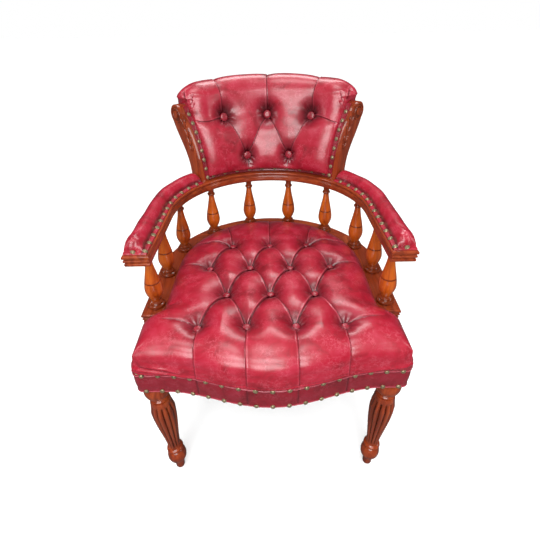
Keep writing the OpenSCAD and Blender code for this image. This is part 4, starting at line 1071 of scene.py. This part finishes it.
def backPleats(width, low, high, top):
    # in the flat of the leather: x round the back, y up it
    unit = math.radians(back["unitAngle"]) * back["girth"]
    lowUnit = math.radians(back["lowUnit"]) * back["girth"]
    lines = []
    for k in (-1, 1):
        droop = 0.022 if k > 0 else 0.009
        lines += [
            ((k * lowUnit, low), (0, high), 0.8, 0, k),
            ((k * lowUnit, low), (k * 2 * unit, high), 0.8, 0, -k),
            ((k * 2 * unit, high), (k * 2.16 * unit, top), 0.75, 0, -k),
            ((k * 2 * unit, high), (k * (width + 0.004), high - droop), 0.7, 0.004 * k, k),
            ((k * lowUnit, low), (k * 0.98 * lowUnit, low - 0.05), 0.6, 0, k),
            # gathers where the leather turns round the ends of the roll
            ((k * (width + 0.002), high + 0.040), (k * (width - 0.020), high + 0.072), 0.6, 0, k),
            ((k * (width + 0.004), high + 0.056), (k * (width - 0.010), high + 0.100), 0.8, 0, k),
            ((k * (width + 0.002), high + 0.024), (k * (width - 0.013), high + 0.046), 0.4, 0, k)]
    spots = [(-lowUnit, low), (lowUnit, low), (-2 * unit, high), (0, high), (2 * unit, high)]
    return lines + [((0, high), (0.001, top), 0.75, 0, 1)], spots


def makeBackCushion():
    w, joint = back["cellsAcross"], back["frontCells"]
    shares = np.linspace(-1, 1, w + 1)
    shares = np.sign(shares) * (1 - (1 - np.abs(shares)) ** 1.12)
    share, t, psi = climbNet(shares, joint + 1, np.linspace(180, back["end"], back["rollCells"] + 1)[1:])
    outer = backPoint(share, t, psi)
    lo, hi = joint - back["blendRows"], joint + back["blendRows"] + 1
    for _ in range(back["blendPasses"]):
        outer[lo:hi] = 0.25 * outer[lo - 1:hi - 1] + 0.5 * outer[lo:hi] + 0.25 * outer[lo + 1:hi + 1]
    inner = liningPoint(*climbNet(shares, 10, np.linspace(160, back["end"], 9)))
    # the flat of the leather
    climb = lengths(outer[:, w // 2])
    low, high = (float(np.interp(back[k], t[:joint + 1, 0], climb[:joint + 1]))
                 for k in ("lowRow", "highRow"))
    width = math.radians(float(endAngle(back["girth"]))) * back["girth"]
    x, y = share * width, np.repeat(climb[:, None], w + 1, 1)
    lines, spots = backPleats(width, low, high, float(climb[-1]) * back["pleatTop"])
    pleats, dimples = tuftRelief(x, y, lines, spots, back)
    relief = pleats + dimples + 0.0012 * ripple(x, y, 21, 24)
    relief = relief * ease((y - 0.002) / 0.012) * ease((climb[-1] - y) / 0.03)
    relief = relief * (0.25 + 0.75 * ease((1 - np.abs(share)) * width / 0.006))
    # the folds' painted dark lines of shade, the rubbed rims beside them, worn and with a painted highlight,
    # and painted shade round each button
    place = wavered(x, y, back)
    folds = pleatEdges(*place, lines, 0.0002, 0.0012, lambda f: 0.75 * f)
    rims = pleatEdges(*place, lines, 0.0028, 0.0009, lambda f: 0.3)
    rounds = np.stack([hill(np.hypot(x - sx, y - sy), 0.021) for sx, sy in spots]).max(axis=0)
    paintedShade = folds + 0.45 * rounds - (relief - 0.0005) / 0.022
    k, h, n, hi = w + 1, len(outer) - 1, outer.size // 3, len(inner) - 1
    faces = netFaces(h + 1, k) + netFaces(hi + 1, k, n, flipped=True)
    faces += [(i, n + i, n + i + 1, i + 1) for i in range(w)]
    faces += [(h * k + i, h * k + i + 1, n + hi * k + i + 1, n + hi * k + i) for i in range(w)]
    faces.append(tuple(j * k for j in range(h + 1)) + tuple(n + j * k for j in range(hi, -1, -1)))
    faces.append(tuple(j * k + w for j in range(h, -1, -1)) + tuple(n + j * k + w for j in range(hi + 1)))
    points = np.vstack([outer.reshape(-1, 3), inner.reshape(-1, 3)])
    plain = np.zeros(inner.size // 3)
    piece = coverMesh("backCushion", points, faces, *(
        np.concatenate([values.ravel(), rest]) for values, rest in (
            (relief, plain), (paintedShade, plain + 0.0005 / 0.022), (rims, plain))))
    dress(piece, "tufted", "back_cushion", 75)
    places = []
    for q, (sx, sy) in enumerate(spots):
        index = int(np.argmin((x - sx).ravel() ** 2 + (y - sy).ravel() ** 2))
        towards = Vector((-points[index][0], -points[index][1], 0)).normalized()
        towards = (towards + Vector((0, 0, 0.12 if sy < 0.1 else 0.30))).normalized()
        foot = Vector(piece.data.vertices[index].co) + towards * back["buttonLift"]
        places.append(aimed(foot, towards, q * 1.1) @ Matrix.Scale(back["buttonScale"], 4))
    manyHeads(buttonHead, "backButtons", places, "buttonHide", "back_buttons")


makeBackCushion()
bpy.data.objects.remove(buttonHead)
print("back cushion made")


# Leather strips under the nails of the back, and the panel behind it

trim = {
    "thick": 0.0025, "low": 0.0004, "high": 0.0126,         # beside the posts
    "footThick": 0.0024, "footLow": 0.0003, "footHigh": 0.014,   # along the arm bow
    "footRadius": 0.2399,
    "scroll": 0.0227,
    "rim": 0.0005,
}
panel = {"rows": 70, "columns": 120, "from": 0.004, "to": 0.93, "outside": 0.001, "inside": 0.0045}


def sweptStrip(name, centres, outs, across, profile):
    # profile: (distance across, distance outwards), carried along a line of centres
    n, count = len(profile), len(centres)
    points = [c + a * u + o * v for c, o, a in zip(centres, outs, across) for u, v in profile]
    faces = netFaces(count, n, closed=True)
    faces += [tuple(range(n)), tuple(range(count * n - 1, count * n - n - 1, -1))]
    piece = meshPiece(name, points, faces)
    cleanNormals(piece)
    return piece


def stripProfile(low, high, thick):
    # both edges are rolled alike
    rim = trim["rim"]
    near = [(0, -0.0001), (-0.0002, thick * 0.5), (0.0003, thick + rim * 0.6), (0.0012, thick + rim),
            (0.0021, thick + rim * 0.2), (0.0032, thick - 0.0003)]
    return ([(low + u, v) for u, v in near] + [((low + high) / 2, thick - 0.0001)]
            + [(high - u, v) for u, v in near[::-1]])


def makeBackTrim():
    scroll = polar(trim["scroll"], np.radians(np.linspace(172, 132, 14)))
    line = np.vstack([bezier(frontCurve, np.linspace(0.03, 1, 60)),
                      scroll + [chair["scrollRadius"], chair["scrollZ"]]])
    profile = stripProfile(trim["low"], trim["high"], trim["thick"])
    post = math.radians(chair["postAngle"])
    strips = []
    for side in (1, -1):
        radial = np.array([math.cos(post) * side, math.sin(post), 0])
        across = np.array([-math.sin(post) * side, math.cos(post), 0])
        centres = [radial * r + [0, chair["centreY"], z] for r, z in line]
        outs = [radial * -dz + np.array([0, 0, dr]) for dr, dz in slopeOf(line)]
        strips.append(sweptStrip("strip", centres, outs, [across] * len(line), profile))
    span = endAngle(0.238) - 0.2
    turns = np.radians(np.linspace(90 - span, 90 + span, 90))
    outs = [np.array([-math.cos(t), -math.sin(t), 0]) for t in turns]
    centres = [[0, chair["centreY"], chair["topZ"] + 0.0003] - out * trim["footRadius"] for out in outs]
    strips.append(sweptStrip("strip", centres, outs, [np.array([0, 0, 1.0])] * len(outs),
                             stripProfile(trim["footLow"], trim["footHigh"], trim["footThick"])))
    # the strips take the band's hide, painted darker as shade
    dress(joinPieces(strips, "backTrim"), "bandHide", "back_trim", 50)


def makeOutsidePanel():
    rows, columns, first, last = (panel[k] for k in ("rows", "columns", "from", "to"))
    t = np.linspace(first, last, rows + 1)[:, None]
    u = np.linspace(-1, 1, columns + 1)[None]
    line = bezier(rearCurve, t[:, 0])
    slope = slopeOf(line)
    side = np.minimum(np.minimum(1 - np.abs(u), (t - first) / 0.9), (last - t) / 0.9 + 0.15)
    swelling = 0.0016 * ease((side - 0.07) / 0.3) - 0.0022 * (1 - quarterRound(side / 0.02))
    skins = []
    for depth in (panel["outside"] - swelling, panel["inside"] + 0 * side):
        r = line[:, :1] - depth * slope[:, 1:]
        skins.append(onBearing(r, u * endAngle(r), line[:, 1:] + depth * slope[:, :1]).reshape(-1, 3))
    n, ring = len(skins[0]), netRing(columns, rows)
    faces = netFaces(rows + 1, columns + 1, flipped=True) + netFaces(rows + 1, columns + 1, n)
    faces += [(a, b, n + b, n + a) for a, b in zip(ring, ring[1:] + ring[:1])]
    piece = meshPiece("outsidePanel", np.vstack(skins) + [0, chair["centreY"], 0], faces)
    cleanNormals(piece)
    dress(piece, "leather", "outside_back", 60)


makeBackTrim()
makeOutsidePanel()
print("trim and outside panel made")


# Wood: turned pieces, their profiles in millimetres as (radius, height)

leg = {
    "x": 0.2475, "y": -0.262, "steps": 144,
    "reeds": 12, "reedDepth": 0.0056, "reedFoot": 97, "reedLength": 191,
    # a swelling's radius, its middle and half its height
    "ball": (22.8, 56, 26), "knob": (28, 323, 29),
    # radius at the foot and how much it grows, height of the foot, length
    "shaft": (14.8, 12.4, 96, 193), "thickest": 0.8, "fall": 32,
    "foot": [(0, 0), (9.6, 0), (10.6, 0.7), (11.0, 2), (11.2, 10), (11.9, 26), (12.4, 30)],
    "ring": [(13.4, 81), (14.2, 82.2), (17.4, 83.4), (19.4, 85.5), (20.0, 88), (19.4, 90.5), (17.4, 92.4),
             (14.8, 94), (14.4, 95.4)],
    "collar": [(17.6, 289.6), (18.8, 290.4), (20.2, 292), (20.6, 293.6), (19.6, 295.6), (17.6, 297),
               (16.8, 297.8)],
    "top": [(22.6, 343.6), (0, 343.6)],
    "block": (0.0500, 0.0490, 0.0448), "blockZ": 0.3665, "blockEase": 0.011,
    "turns": {-1: 15, 1: 0},   # degrees that the left and the right leg are turned
}


def swelling(shape, angles, power=1):
    radius, middle, half = shape
    return [(radius * math.cos(math.radians(a)) ** power, middle + half * math.sin(math.radians(a)))
            for a in angles]


def legProfile():
    radius, growth, low, length = leg["shaft"]
    shaft = []
    for t in [k / 60 for k in range(1, 61)]:
        fall = max(0, t - leg["thickest"]) * leg["fall"]
        shaft.append((radius + growth * float(ease(t / leg["thickest"])) ** 0.85 - fall, low + length * t))
    mm = leg["foot"] + swelling(leg["ball"], range(-62, 66, 6), 0.7) + leg["ring"] + shaft
    mm += leg["collar"] + swelling(leg["knob"], range(-52, 34, 5)) + leg["top"]
    return [(r / 1000, z / 1000) for r, z in mm]


def frontLeg():
    piece = turned("frontLeg", legProfile(), leg["steps"])
    cuts = piece.data.attributes.new("cut", "FLOAT", "POINT").data
    for vertex in piece.data.vertices:
        t = (vertex.co.z * 1000 - leg["reedFoot"]) / leg["reedLength"]
        if 0 < t < 1:
            # each reed is a rounded rib between two grooves, closed in an arch at its head
            turn = math.atan2(vertex.co.y, vertex.co.x) * leg["reeds"]
            arch = abs(math.sin(turn / 2))
            fade = float(ease(t / 0.06)) * float(ease((1.0 - t) / 0.05))
            head = float(ease((t - (0.965 - 0.05 * (1 - arch) ** 0.5)) / 0.02))
            cut = leg["reedDepth"] * (1 - arch ** 0.55) * fade * (1 - head)
            r = math.hypot(vertex.co.x, vertex.co.y)
            scale = (r - cut * min(1, r / 0.022) + head * 0.0004) / r
            # painted shade, darkest at the bottom of each groove
            cuts[vertex.index].value = min(1, 0.85 * cut / leg["reedDepth"])
            vertex.co.x *= scale
            vertex.co.y *= scale
    bpy.ops.mesh.primitive_cube_add(size=1, location=(0, 0, leg["blockZ"]))
    block = bpy.context.object
    block.scale = leg["block"]
    settle(block)
    modify(block, "BEVEL", width=leg["blockEase"], segments=4)
    return joinPieces([piece, block], "frontLeg")


legModel = frontLeg()
for side, name, node in ((-1, "frontLegLeft", "front_leg_left"), (1, "frontLegRight", "front_leg_right")):
    place = Matrix.Translation((leg["x"] * side, leg["y"] + chair["centreY"], 0))
    spin = Matrix.Rotation(math.radians(leg["turns"][side]), 4, "Z")
    dress(copyOf(legModel, name, place @ spin), "carvedZ", node, 35)
bpy.data.objects.remove(legModel)


spindle = {
    "baseMid": 0.25475, "armMid": 0.24775, "count": 10, "pitch": 0.11859, "steps": 64,
    "radius": 19.0, "low": 21.3, "length": 98.5,      # of the vase, in millimetres
    "belly": 0.26, "groove": 0.45,                    # places on the vase
    "foot": [(0, -13.6), (7, -13.6), (7, 0.3), (17.6, 0.3), (19.0, 0.9), (19.8, 2.6), (19.8, 5.0),
             (19.0, 7.0), (16.8, 8.4), (14.3, 9.2), (13.8, 9.9), (14.6, 10.9), (15.3, 12.2),
             (15.2, 13.5), (13.9, 14.8), (11.6, 15.9), (10.3, 17.0), (9.9, 18.6), (10.2, 20.2)],
    # set in from the vase, and above the groove's lower edge
    "line": [(0.1, 0.4), (0.8, 0.7), (1.0, 1.2), (0.8, 1.7), (0.3, 2.0)],
    "neck": [(7.2, 120.3), (9.0, 120.9), (10.1, 122.2), (10.5, 123.8), (10.1, 125.4), (8.9, 126.7),
             (7.6, 127.5), (7.5, 128.8), (8.0, 135.975), (8.6, 138.18), (10.0, 140.532),
             (12.0, 143.178), (13.4, 144.648), (13.7, 145.4), (13.5, 146.1), (7, 146.2),
             (7, 160.4), (0, 160.4)],
}


def vase(t):
    if t < spindle["belly"]:
        return spindle["radius"] * (0.58 + 0.42 * math.sin(math.pi / 2 * t / spindle["belly"]))
    q = (t - spindle["belly"]) / (1 - spindle["belly"])
    return spindle["radius"] * (1 - 0.62 * (float(ease(q)) * 0.65 + q * 0.35))


def spindleProfile():
    low, length, groove = spindle["low"], spindle["length"], spindle["groove"]
    places = [groove * k / 30 for k in range(31)]
    above = [groove + 0.02 + (0.98 - groove) * k / 34 for k in range(1, 35)]
    mm = spindle["foot"] + [(vase(t), low + length * t) for t in places]
    mm += [(vase(groove) - u, low + length * groove + v) for u, v in spindle["line"]]
    mm += [(vase(t), low + length * t) for t in above] + spindle["neck"]
    return [(a / 1000, b / 1000) for a, b in mm]


def gallerySpot(radius, s):
    # a place on the horseshoe, s metres from the middle of the back, local +X outwards
    quarter = radius * math.pi / 2
    if abs(s) < quarter:
        return Matrix.Rotation(math.pi / 2 - s / radius, 4, "Z") @ Matrix.Translation((radius, 0, 0))
    side = -1 if s < 0 else 1
    turn = Matrix.Rotation(0 if side > 0 else math.pi, 4, "Z")
    return Matrix.Translation((side * radius, quarter - abs(s), 0)) @ turn


def makeSpindles():
    model = turned("spindle", spindleProfile(), spindle["steps"])
    lean = math.atan2(spindle["baseMid"] - spindle["armMid"], chair["spindleHeight"])
    for i in range(spindle["count"]):
        spot = gallerySpot(spindle["baseMid"], (i - (spindle["count"] - 1) / 2) * spindle["pitch"])
        foot = Matrix.Translation((0, chair["centreY"], 0)) @ spot
        stand = Matrix.Translation((0, 0, chair["baseZ"])) @ Matrix.Rotation(-lean, 4, "Y")
        place = foot @ stand @ Matrix.Rotation(i * 2.1, 4, "Z")
        dress(copyOf(model, f"spindle{i + 1}", place), "amberZ", f"spindle_{i + 1}", 35)
    bpy.data.objects.remove(model)


makeSpindles()
print("legs and spindles turned")


# Bows: a moulding carried round the horseshoe, its steps returned across the front ends

bow = {
    "joint": 36,               # degrees from the chair's side
    "rings": [0, 0.005, 0.03, 0.08, 0.13],       # along the straight parts, from the front
    "arm": {"inner": chair["armInner"] - 0.0022, "width": chair["armWidth"] + 0.0022,
            "low": chair["armZ"] - 0.0015, "thick": chair["topZ"] - chair["armZ"] + 0.0015,
            "straight": 0.1975},
    "base": {"inner": chair["baseInner"], "width": 0.0535, "low": chair["baseZ"] - 0.025,
             "thick": 0.025, "straight": 0.168},
    # share of the thickness, and how far the edge is set back there in millimetres
    "outside": [(0, 3.4), (0.03, 2.4), (0.08, 1.9), (0.20, 1.7), (0.25, 1.9), (0.325, 3.6), (0.34, 4.8),
                (0.37, 4.8), (0.385, 3.0), (0.40, 1.6), (0.44, 1.0), (0.54, 0.8), (0.615, 2.5), (0.635, 4.2),
                (0.675, 4.2), (0.69, 1.6), (0.72, 0.5), (0.79, 0.1), (0.86, 0), (0.92, 0.2), (1, 2.1)],
    "inside": [(0, 2.6), (0.05, 1.7), (0.11, 1.1), (0.22, 0.8), (0.48, 0.9), (0.54, 1.3), (0.575, 2.3),
               (0.60, 3.1), (0.66, 3.4), (0.70, 3.0), (0.72, 1.9), (0.75, 0.8), (0.80, 0.2), (0.86, 0),
               (0.91, 0.2), (0.955, 0.8), (0.985, 1.6), (1, 2.6)],
}


def mouldedBow(name, look, part, node, finish):
    heights = sorted({z for z, _ in bow["outside"] + bow["inside"]})
    outside, inside = (np.interp(heights, *zip(*bow[k])) / 1000 for k in ("outside", "inside"))
    level = look["low"] + np.array(heights) * look["thick"]
    radii = np.concatenate([look["inner"] + inside, (look["inner"] + look["width"] - outside)[::-1]])
    z = np.concatenate([level, level[::-1]])
    rows = []
    turns = np.radians(np.linspace(bow["joint"], 180 - bow["joint"], 73))
    if part != "back":
        for along in bow["rings"]:
            returned = 0 if along else np.concatenate([outside, outside[::-1]])
            rows.append(np.stack([radii, along - look["straight"] + returned + 0 * z, z], 1))
        turns = np.radians(np.linspace(0, bow["joint"], 25))
    rows += [np.column_stack([polar(radii, t), z]) for t in turns]
    n, half, points = len(radii), len(heights), np.vstack(rows)
    if part == "left":
        points[:, 0] *= -1
    faces = netFaces(len(rows), n, closed=True, flipped=True)
    for first in (0, (len(rows) - 1) * n):
        faces += [(first + k, first + k + 1, first + n - 2 - k, first + n - 1 - k) for k in range(half - 1)]
    piece = meshPiece(name, points + [0, chair["centreY"], 0], faces)
    cleanNormals(piece)
    dress(piece, finish, node, 42)


for kind in ("arm", "base"):
    for part, finish in (("left", "polishedY"), ("right", "polishedY"), ("back", "polishedX")):
        mouldedBow(f"{kind}Bow{part.title()}", bow[kind], part, f"{kind}_bow_{part}", finish)


# Sawn pieces, with their edges eased

def easedCopy(node, name, width, segments):
    piece = freeCopy(node, name)
    modify(piece, "BEVEL", width=width, segments=segments, limit_method="ANGLE",
           angle_limit=math.radians(32))
    return piece


for node, name in (("rear_leg_left", "rearLegLeft"), ("rear_leg_right", "rearLegRight")):
    dress(easedCopy(node, name, 0.0009, 2), "polishedZ", node, 40)
print("bows moulded and rear legs eased")


# Posts of the back, with a volute and a leaf carved on the outer face of each scroll

volute = {
    "face": 0.0119, "start": 0.0195, "end": 0.0045, "turns": 1.6, "steps": 90, "rib": 0.0018, "rise": 0.0030,
    "startAngle": 250, "groundDepth": 0.0016, "eye": 0.0042, "lobeRise": 0.0030, "shade": 0.0019,
    # place on the front curve, length and width of each pair of lobes
    "lobes": [(0.86, 0.013, 0.0048), (0.72, 0.012, 0.0042), (0.60, 0.010, 0.0036), (0.50, 0.008, 0.0028)],
    "pair": [(0.0075, 0, 12), (0.0165, 0.002, -24)],     # distance behind the curve, rise, tilt
}


def carvePost(node, name, side):
    post = easedCopy(node, name, 0.0014, 3)
    smoothByAngle(post, 40)
    turn, steps = math.radians(chair["postAngle"]), volute["steps"]
    radial = np.array([math.cos(turn) * side, math.sin(turn), 0])
    outward = np.array([math.sin(turn) * side, -math.cos(turn), 0])
    up = np.array([0, 0, 1.0])
    face = outward * volute["face"] + [0, chair["centreY"], 0]
    middle = radial * chair["scrollRadius"] + up * chair["scrollZ"] + face
    angles = np.radians(volute["startAngle"]) - np.linspace(0, volute["turns"] * math.tau, steps)
    reach = volute["start"] * (volute["end"] / volute["start"]) ** np.linspace(0, 1, steps)
    spokes = [radial * math.cos(a) + up * math.sin(a) for a in angles]
    section = [(volute["rib"] * math.cos(a), volute["rise"] * math.sin(a))
               for a in np.linspace(-0.25, math.pi + 0.25, 11)]
    centres = [middle + s * r for s, r in zip(spokes, reach)]
    carving = [sweptStrip("rib", centres, [outward] * steps, spokes, section)]

    def placed(matrix):
        # puts the new primitive in its place in the carving
        part = bpy.context.object
        part.matrix_world = matrix
        settle(part)
        cleanNormals(part)
        carving.append(part)

    def basis(*axes):
        return Matrix([Vector(axis) for axis in axes]).transposed().to_4x4()

    bpy.ops.mesh.primitive_cylinder_add(vertices=64, radius=volute["start"] + 0.0006,
                                        depth=volute["groundDepth"])
    placed(Matrix.Translation(middle) @ basis(radial, np.cross(outward, radial), outward))
    # the eye, and the leaf's lobes that hang below the scroll: radius, height, tilt, length, width
    lobes = [(chair["scrollRadius"], chair["scrollZ"], 0, volute["eye"], volute["eye"])]
    for t, length, width in volute["lobes"]:
        r, z = bezier(frontCurve, t)
        lobes += [(r + behind, z + rise, tilt, length, width) for behind, rise, tilt in volute["pair"]]
    for r, z, tilt, length, width in lobes:
        bpy.ops.mesh.primitive_uv_sphere_add(segments=20, ring_count=10, radius=1, location=(0, 0, 0))
        lean = Matrix.Rotation(math.radians(tilt) * side, 4, Vector(outward))
        placed(Matrix.Translation(radial * r + up * z + face) @ lean
               @ basis(radial * width, outward * volute["lobeRise"], up * length))
    # painted shade where the cuts are deepest, next to the post's own face
    for part in carving:
        cuts = part.data.attributes.new("cut", "FLOAT", "POINT").data
        for vertex in part.data.vertices:
            height = (Vector(vertex.co) - Vector(middle)).dot(Vector(outward))
            cuts[vertex.index].value = max(0, 1 - max(0, height) / volute["shade"])
    return [post] + carving


for side, node, name in ((-1, "back_post_left", "backPostLeft"), (1, "back_post_right", "backPostRight")):
    dress(joinPieces(carvePost(node, name, side), name), "carvedZ", node, 45)
print("posts carved")


# Pieces inside the chair keep their own shapes

inside = {
    "rawX": ("front_rail", "back_rail", "back_bottom_rail", "back_top_rail", "back_board"),
    "rawY": ("side_rail_left", "side_rail_right", "corner_blocks", "seat_board", "frame_dowels",
             "base_dowels", "bow_dowels"),
    "steel": ("block_screws", "leg_screws", "board_screws", "post_screws"),
}
for finish, names in inside.items():
    for node in names:
        nodes[node].data.materials[0] = finishes[finish]


# Black cloth tacked under the frame

cloth = {
    "sag": 0.006, "thick": 0.0006, "cuts": 13,
    "cutWidth": 0.27, "cutDepth": 0.33,                      # half the size of the net of cuts
    "halfWidth": 0.24, "halfDepth": 0.27, "middle": -0.02,   # of the part that sags
}


def cutNet():
    # cuts the cloth across and along, so that it can sag
    for axis, reach in ((0, cloth["cutWidth"]), (1, cloth["cutDepth"])):
        for k in range(-cloth["cuts"], cloth["cuts"] + 1):
            bpy.ops.mesh.select_all(action="SELECT")
            at, normal = [0, 0, 0], [0, 0, 0]
            at[axis], normal[axis] = k / cloth["cuts"] * reach, 1
            bpy.ops.mesh.bisect(plane_co=at, plane_no=normal)
    bpy.ops.mesh.select_mode(type="VERT")


def onlyUnderside():
    bpy.ops.mesh.select_mode(type="FACE")
    bpy.ops.mesh.select_all(action="DESELECT")


def makeDustCover():
    piece = freeCopy("dust_cover", "dustCover")
    editWhole(piece, onlyUnderside)
    for polygon in piece.data.polygons:
        polygon.select = polygon.normal.z > -0.9
    bpy.ops.object.mode_set(mode="EDIT")
    bpy.ops.mesh.delete(type="FACE")
    bpy.ops.object.mode_set(mode="OBJECT")
    editWhole(piece, cutNet)
    for vertex in piece.data.vertices:
        x, y = vertex.co.xy
        inward = max(0, 1 - max(abs(x) / cloth["halfWidth"], abs(y - cloth["middle"]) / cloth["halfDepth"]))
        wave = float(ripple(x, y, 6, 25))
        vertex.co.z -= cloth["sag"] * math.sqrt(inward) * (1 + 0.25 * wave)
    modify(piece, "SOLIDIFY", thickness=cloth["thick"], offset=1.0)
    dress(piece, "cloth", "dust_cover", 60)


makeDustCover()


# Studio

studio = {
    "lens": 23.673,
    "sensor": 36.0,
    "eye": (-0.0018, -0.7395, 0.9634),
    "pitch": 35.3,             # degrees below the horizon
    "yaw": 0.1,
    "roll": 1.0,
    "aim": (0, 0, 0.5),
    # place, size and power of each soft lamp
    "lamps": {
        "softTop": ((0.1, 0.9, 2.0), (0.9, 0.4), 8),
        "softFront": ((-0.25, -2.3, 1.35), (1.6, 1.0), 33),
        "softHigh": ((-0.15, -1.6, 2.2), (1.4, 0.6), 20),
        "softRight": ((1.9, -0.5, 1.4), (0.25, 1.4), 6),
        "softLeft": ((-1.9, -0.2, 1.5), (0.2, 1.4), 5),
    },
    "sky": 0.5,
    "skyAngle": 20,
    "skyTurn": (8, -6, 0),
}


def addHolder(name, data):
    holder = bpy.data.objects.new(name, data)
    bpy.context.collection.objects.link(holder)
    return holder


def makeCamera():
    pitch, yaw, roll = (math.radians(studio[k]) for k in ("pitch", "yaw", "roll"))
    forward = Vector((math.sin(yaw) * math.cos(pitch), math.cos(yaw) * math.cos(pitch), -math.sin(pitch)))
    right = Vector((math.cos(yaw), -math.sin(yaw), 0))
    down = forward.cross(right)
    across = right * math.cos(roll) + down * math.sin(roll)
    below = down * math.cos(roll) - right * math.sin(roll)
    lens = bpy.data.cameras.new("portrait")
    lens.lens, lens.sensor_width = studio["lens"], studio["sensor"]
    lens.clip_start, lens.clip_end = 0.02, 50
    eye = addHolder("portrait", lens)
    turn = Matrix((across, -below, -forward)).transposed()
    eye.matrix_world = Matrix.Translation(studio["eye"]) @ turn.to_4x4()
    bpy.context.scene.camera = eye


def makeLamps():
    for name, (place, size, power) in studio["lamps"].items():
        lamp = bpy.data.lights.new(name, "AREA")
        lamp.shape, lamp.size, lamp.size_y, lamp.energy = "RECTANGLE", size[0], size[1], power
        holder = addHolder(name, lamp)
        holder.location = place
        holder.rotation_euler = (Vector(studio["aim"]) - Vector(place)).to_track_quat("-Z", "Y").to_euler()
    sun = bpy.data.lights.new("softSky", "SUN")
    sun.energy, sun.angle = studio["sky"], math.radians(studio["skyAngle"])
    addHolder("softSky", sun).rotation_euler = [math.radians(a) for a in studio["skyTurn"]]


def makeFloor():
    bpy.ops.mesh.primitive_plane_add(size=60, location=(0, 0, 0))
    floor = bpy.context.object
    floor.name = "studioFloor"
    material, tree, shader = newMaterial("paleFloor", Roughness=0.85)
    pale = ramp(tree, noise(tree, objectPlace(tree), 3, 2), greys((0.3, 0.86), (0.7, 0.90)))
    # pale to the camera, darker to the chair, so that its polish and its undersides keep their depth
    path = addNode(tree, "ShaderNodeLightPath")
    seen = path.outputs["Is Camera Ray"]
    unseen = mixColour(tree, maths(tree, "SUBTRACT", 1.0, seen), pale, (0.34, 0.34, 0.34))
    tree.links.new(mixColour(tree, path.outputs["Is Glossy Ray"], unseen, (0.06, 0.06, 0.06)),
                   shader.inputs["Base Color"])
    shader.inputs["Emission Color"].default_value = (1, 1, 1, 1)
    tree.links.new(maths(tree, "MULTIPLY", seen, 0.1), shader.inputs["Emission Strength"])
    floor.data.materials.append(material)


def makeAir():
    # white to the camera, brightest overhead as a light, and dim in reflections
    world = bpy.data.worlds.new("studioAir")
    bpy.context.scene.world = world
    world.use_nodes = True
    tree = world.node_tree
    air = tree.nodes["Background"]
    air.inputs["Color"].default_value = (1, 1, 1, 1)
    aim = addNode(tree, "ShaderNodeTexCoord").outputs["Generated"]
    height = addNode(tree, "ShaderNodeSeparateXYZ", {"Vector": aim}).outputs["Z"]
    glow = maths(tree, "ADD", maths(tree, "MULTIPLY", height, 1.25), 0.22)
    path = addNode(tree, "ShaderNodeLightPath")
    spread = maths(tree, "MULTIPLY", glow, path.outputs["Is Diffuse Ray"])
    shine = maths(tree, "MULTIPLY", path.outputs["Is Glossy Ray"], 0.03)
    plain = maths(tree, "ADD", path.outputs["Is Camera Ray"], shine)
    tree.links.new(maths(tree, "ADD", spread, plain), air.inputs["Strength"])


makeCamera()
makeFloor()
makeAir()
makeLamps()
bpy.context.scene.view_settings.view_transform = "Standard"
print("studio set")
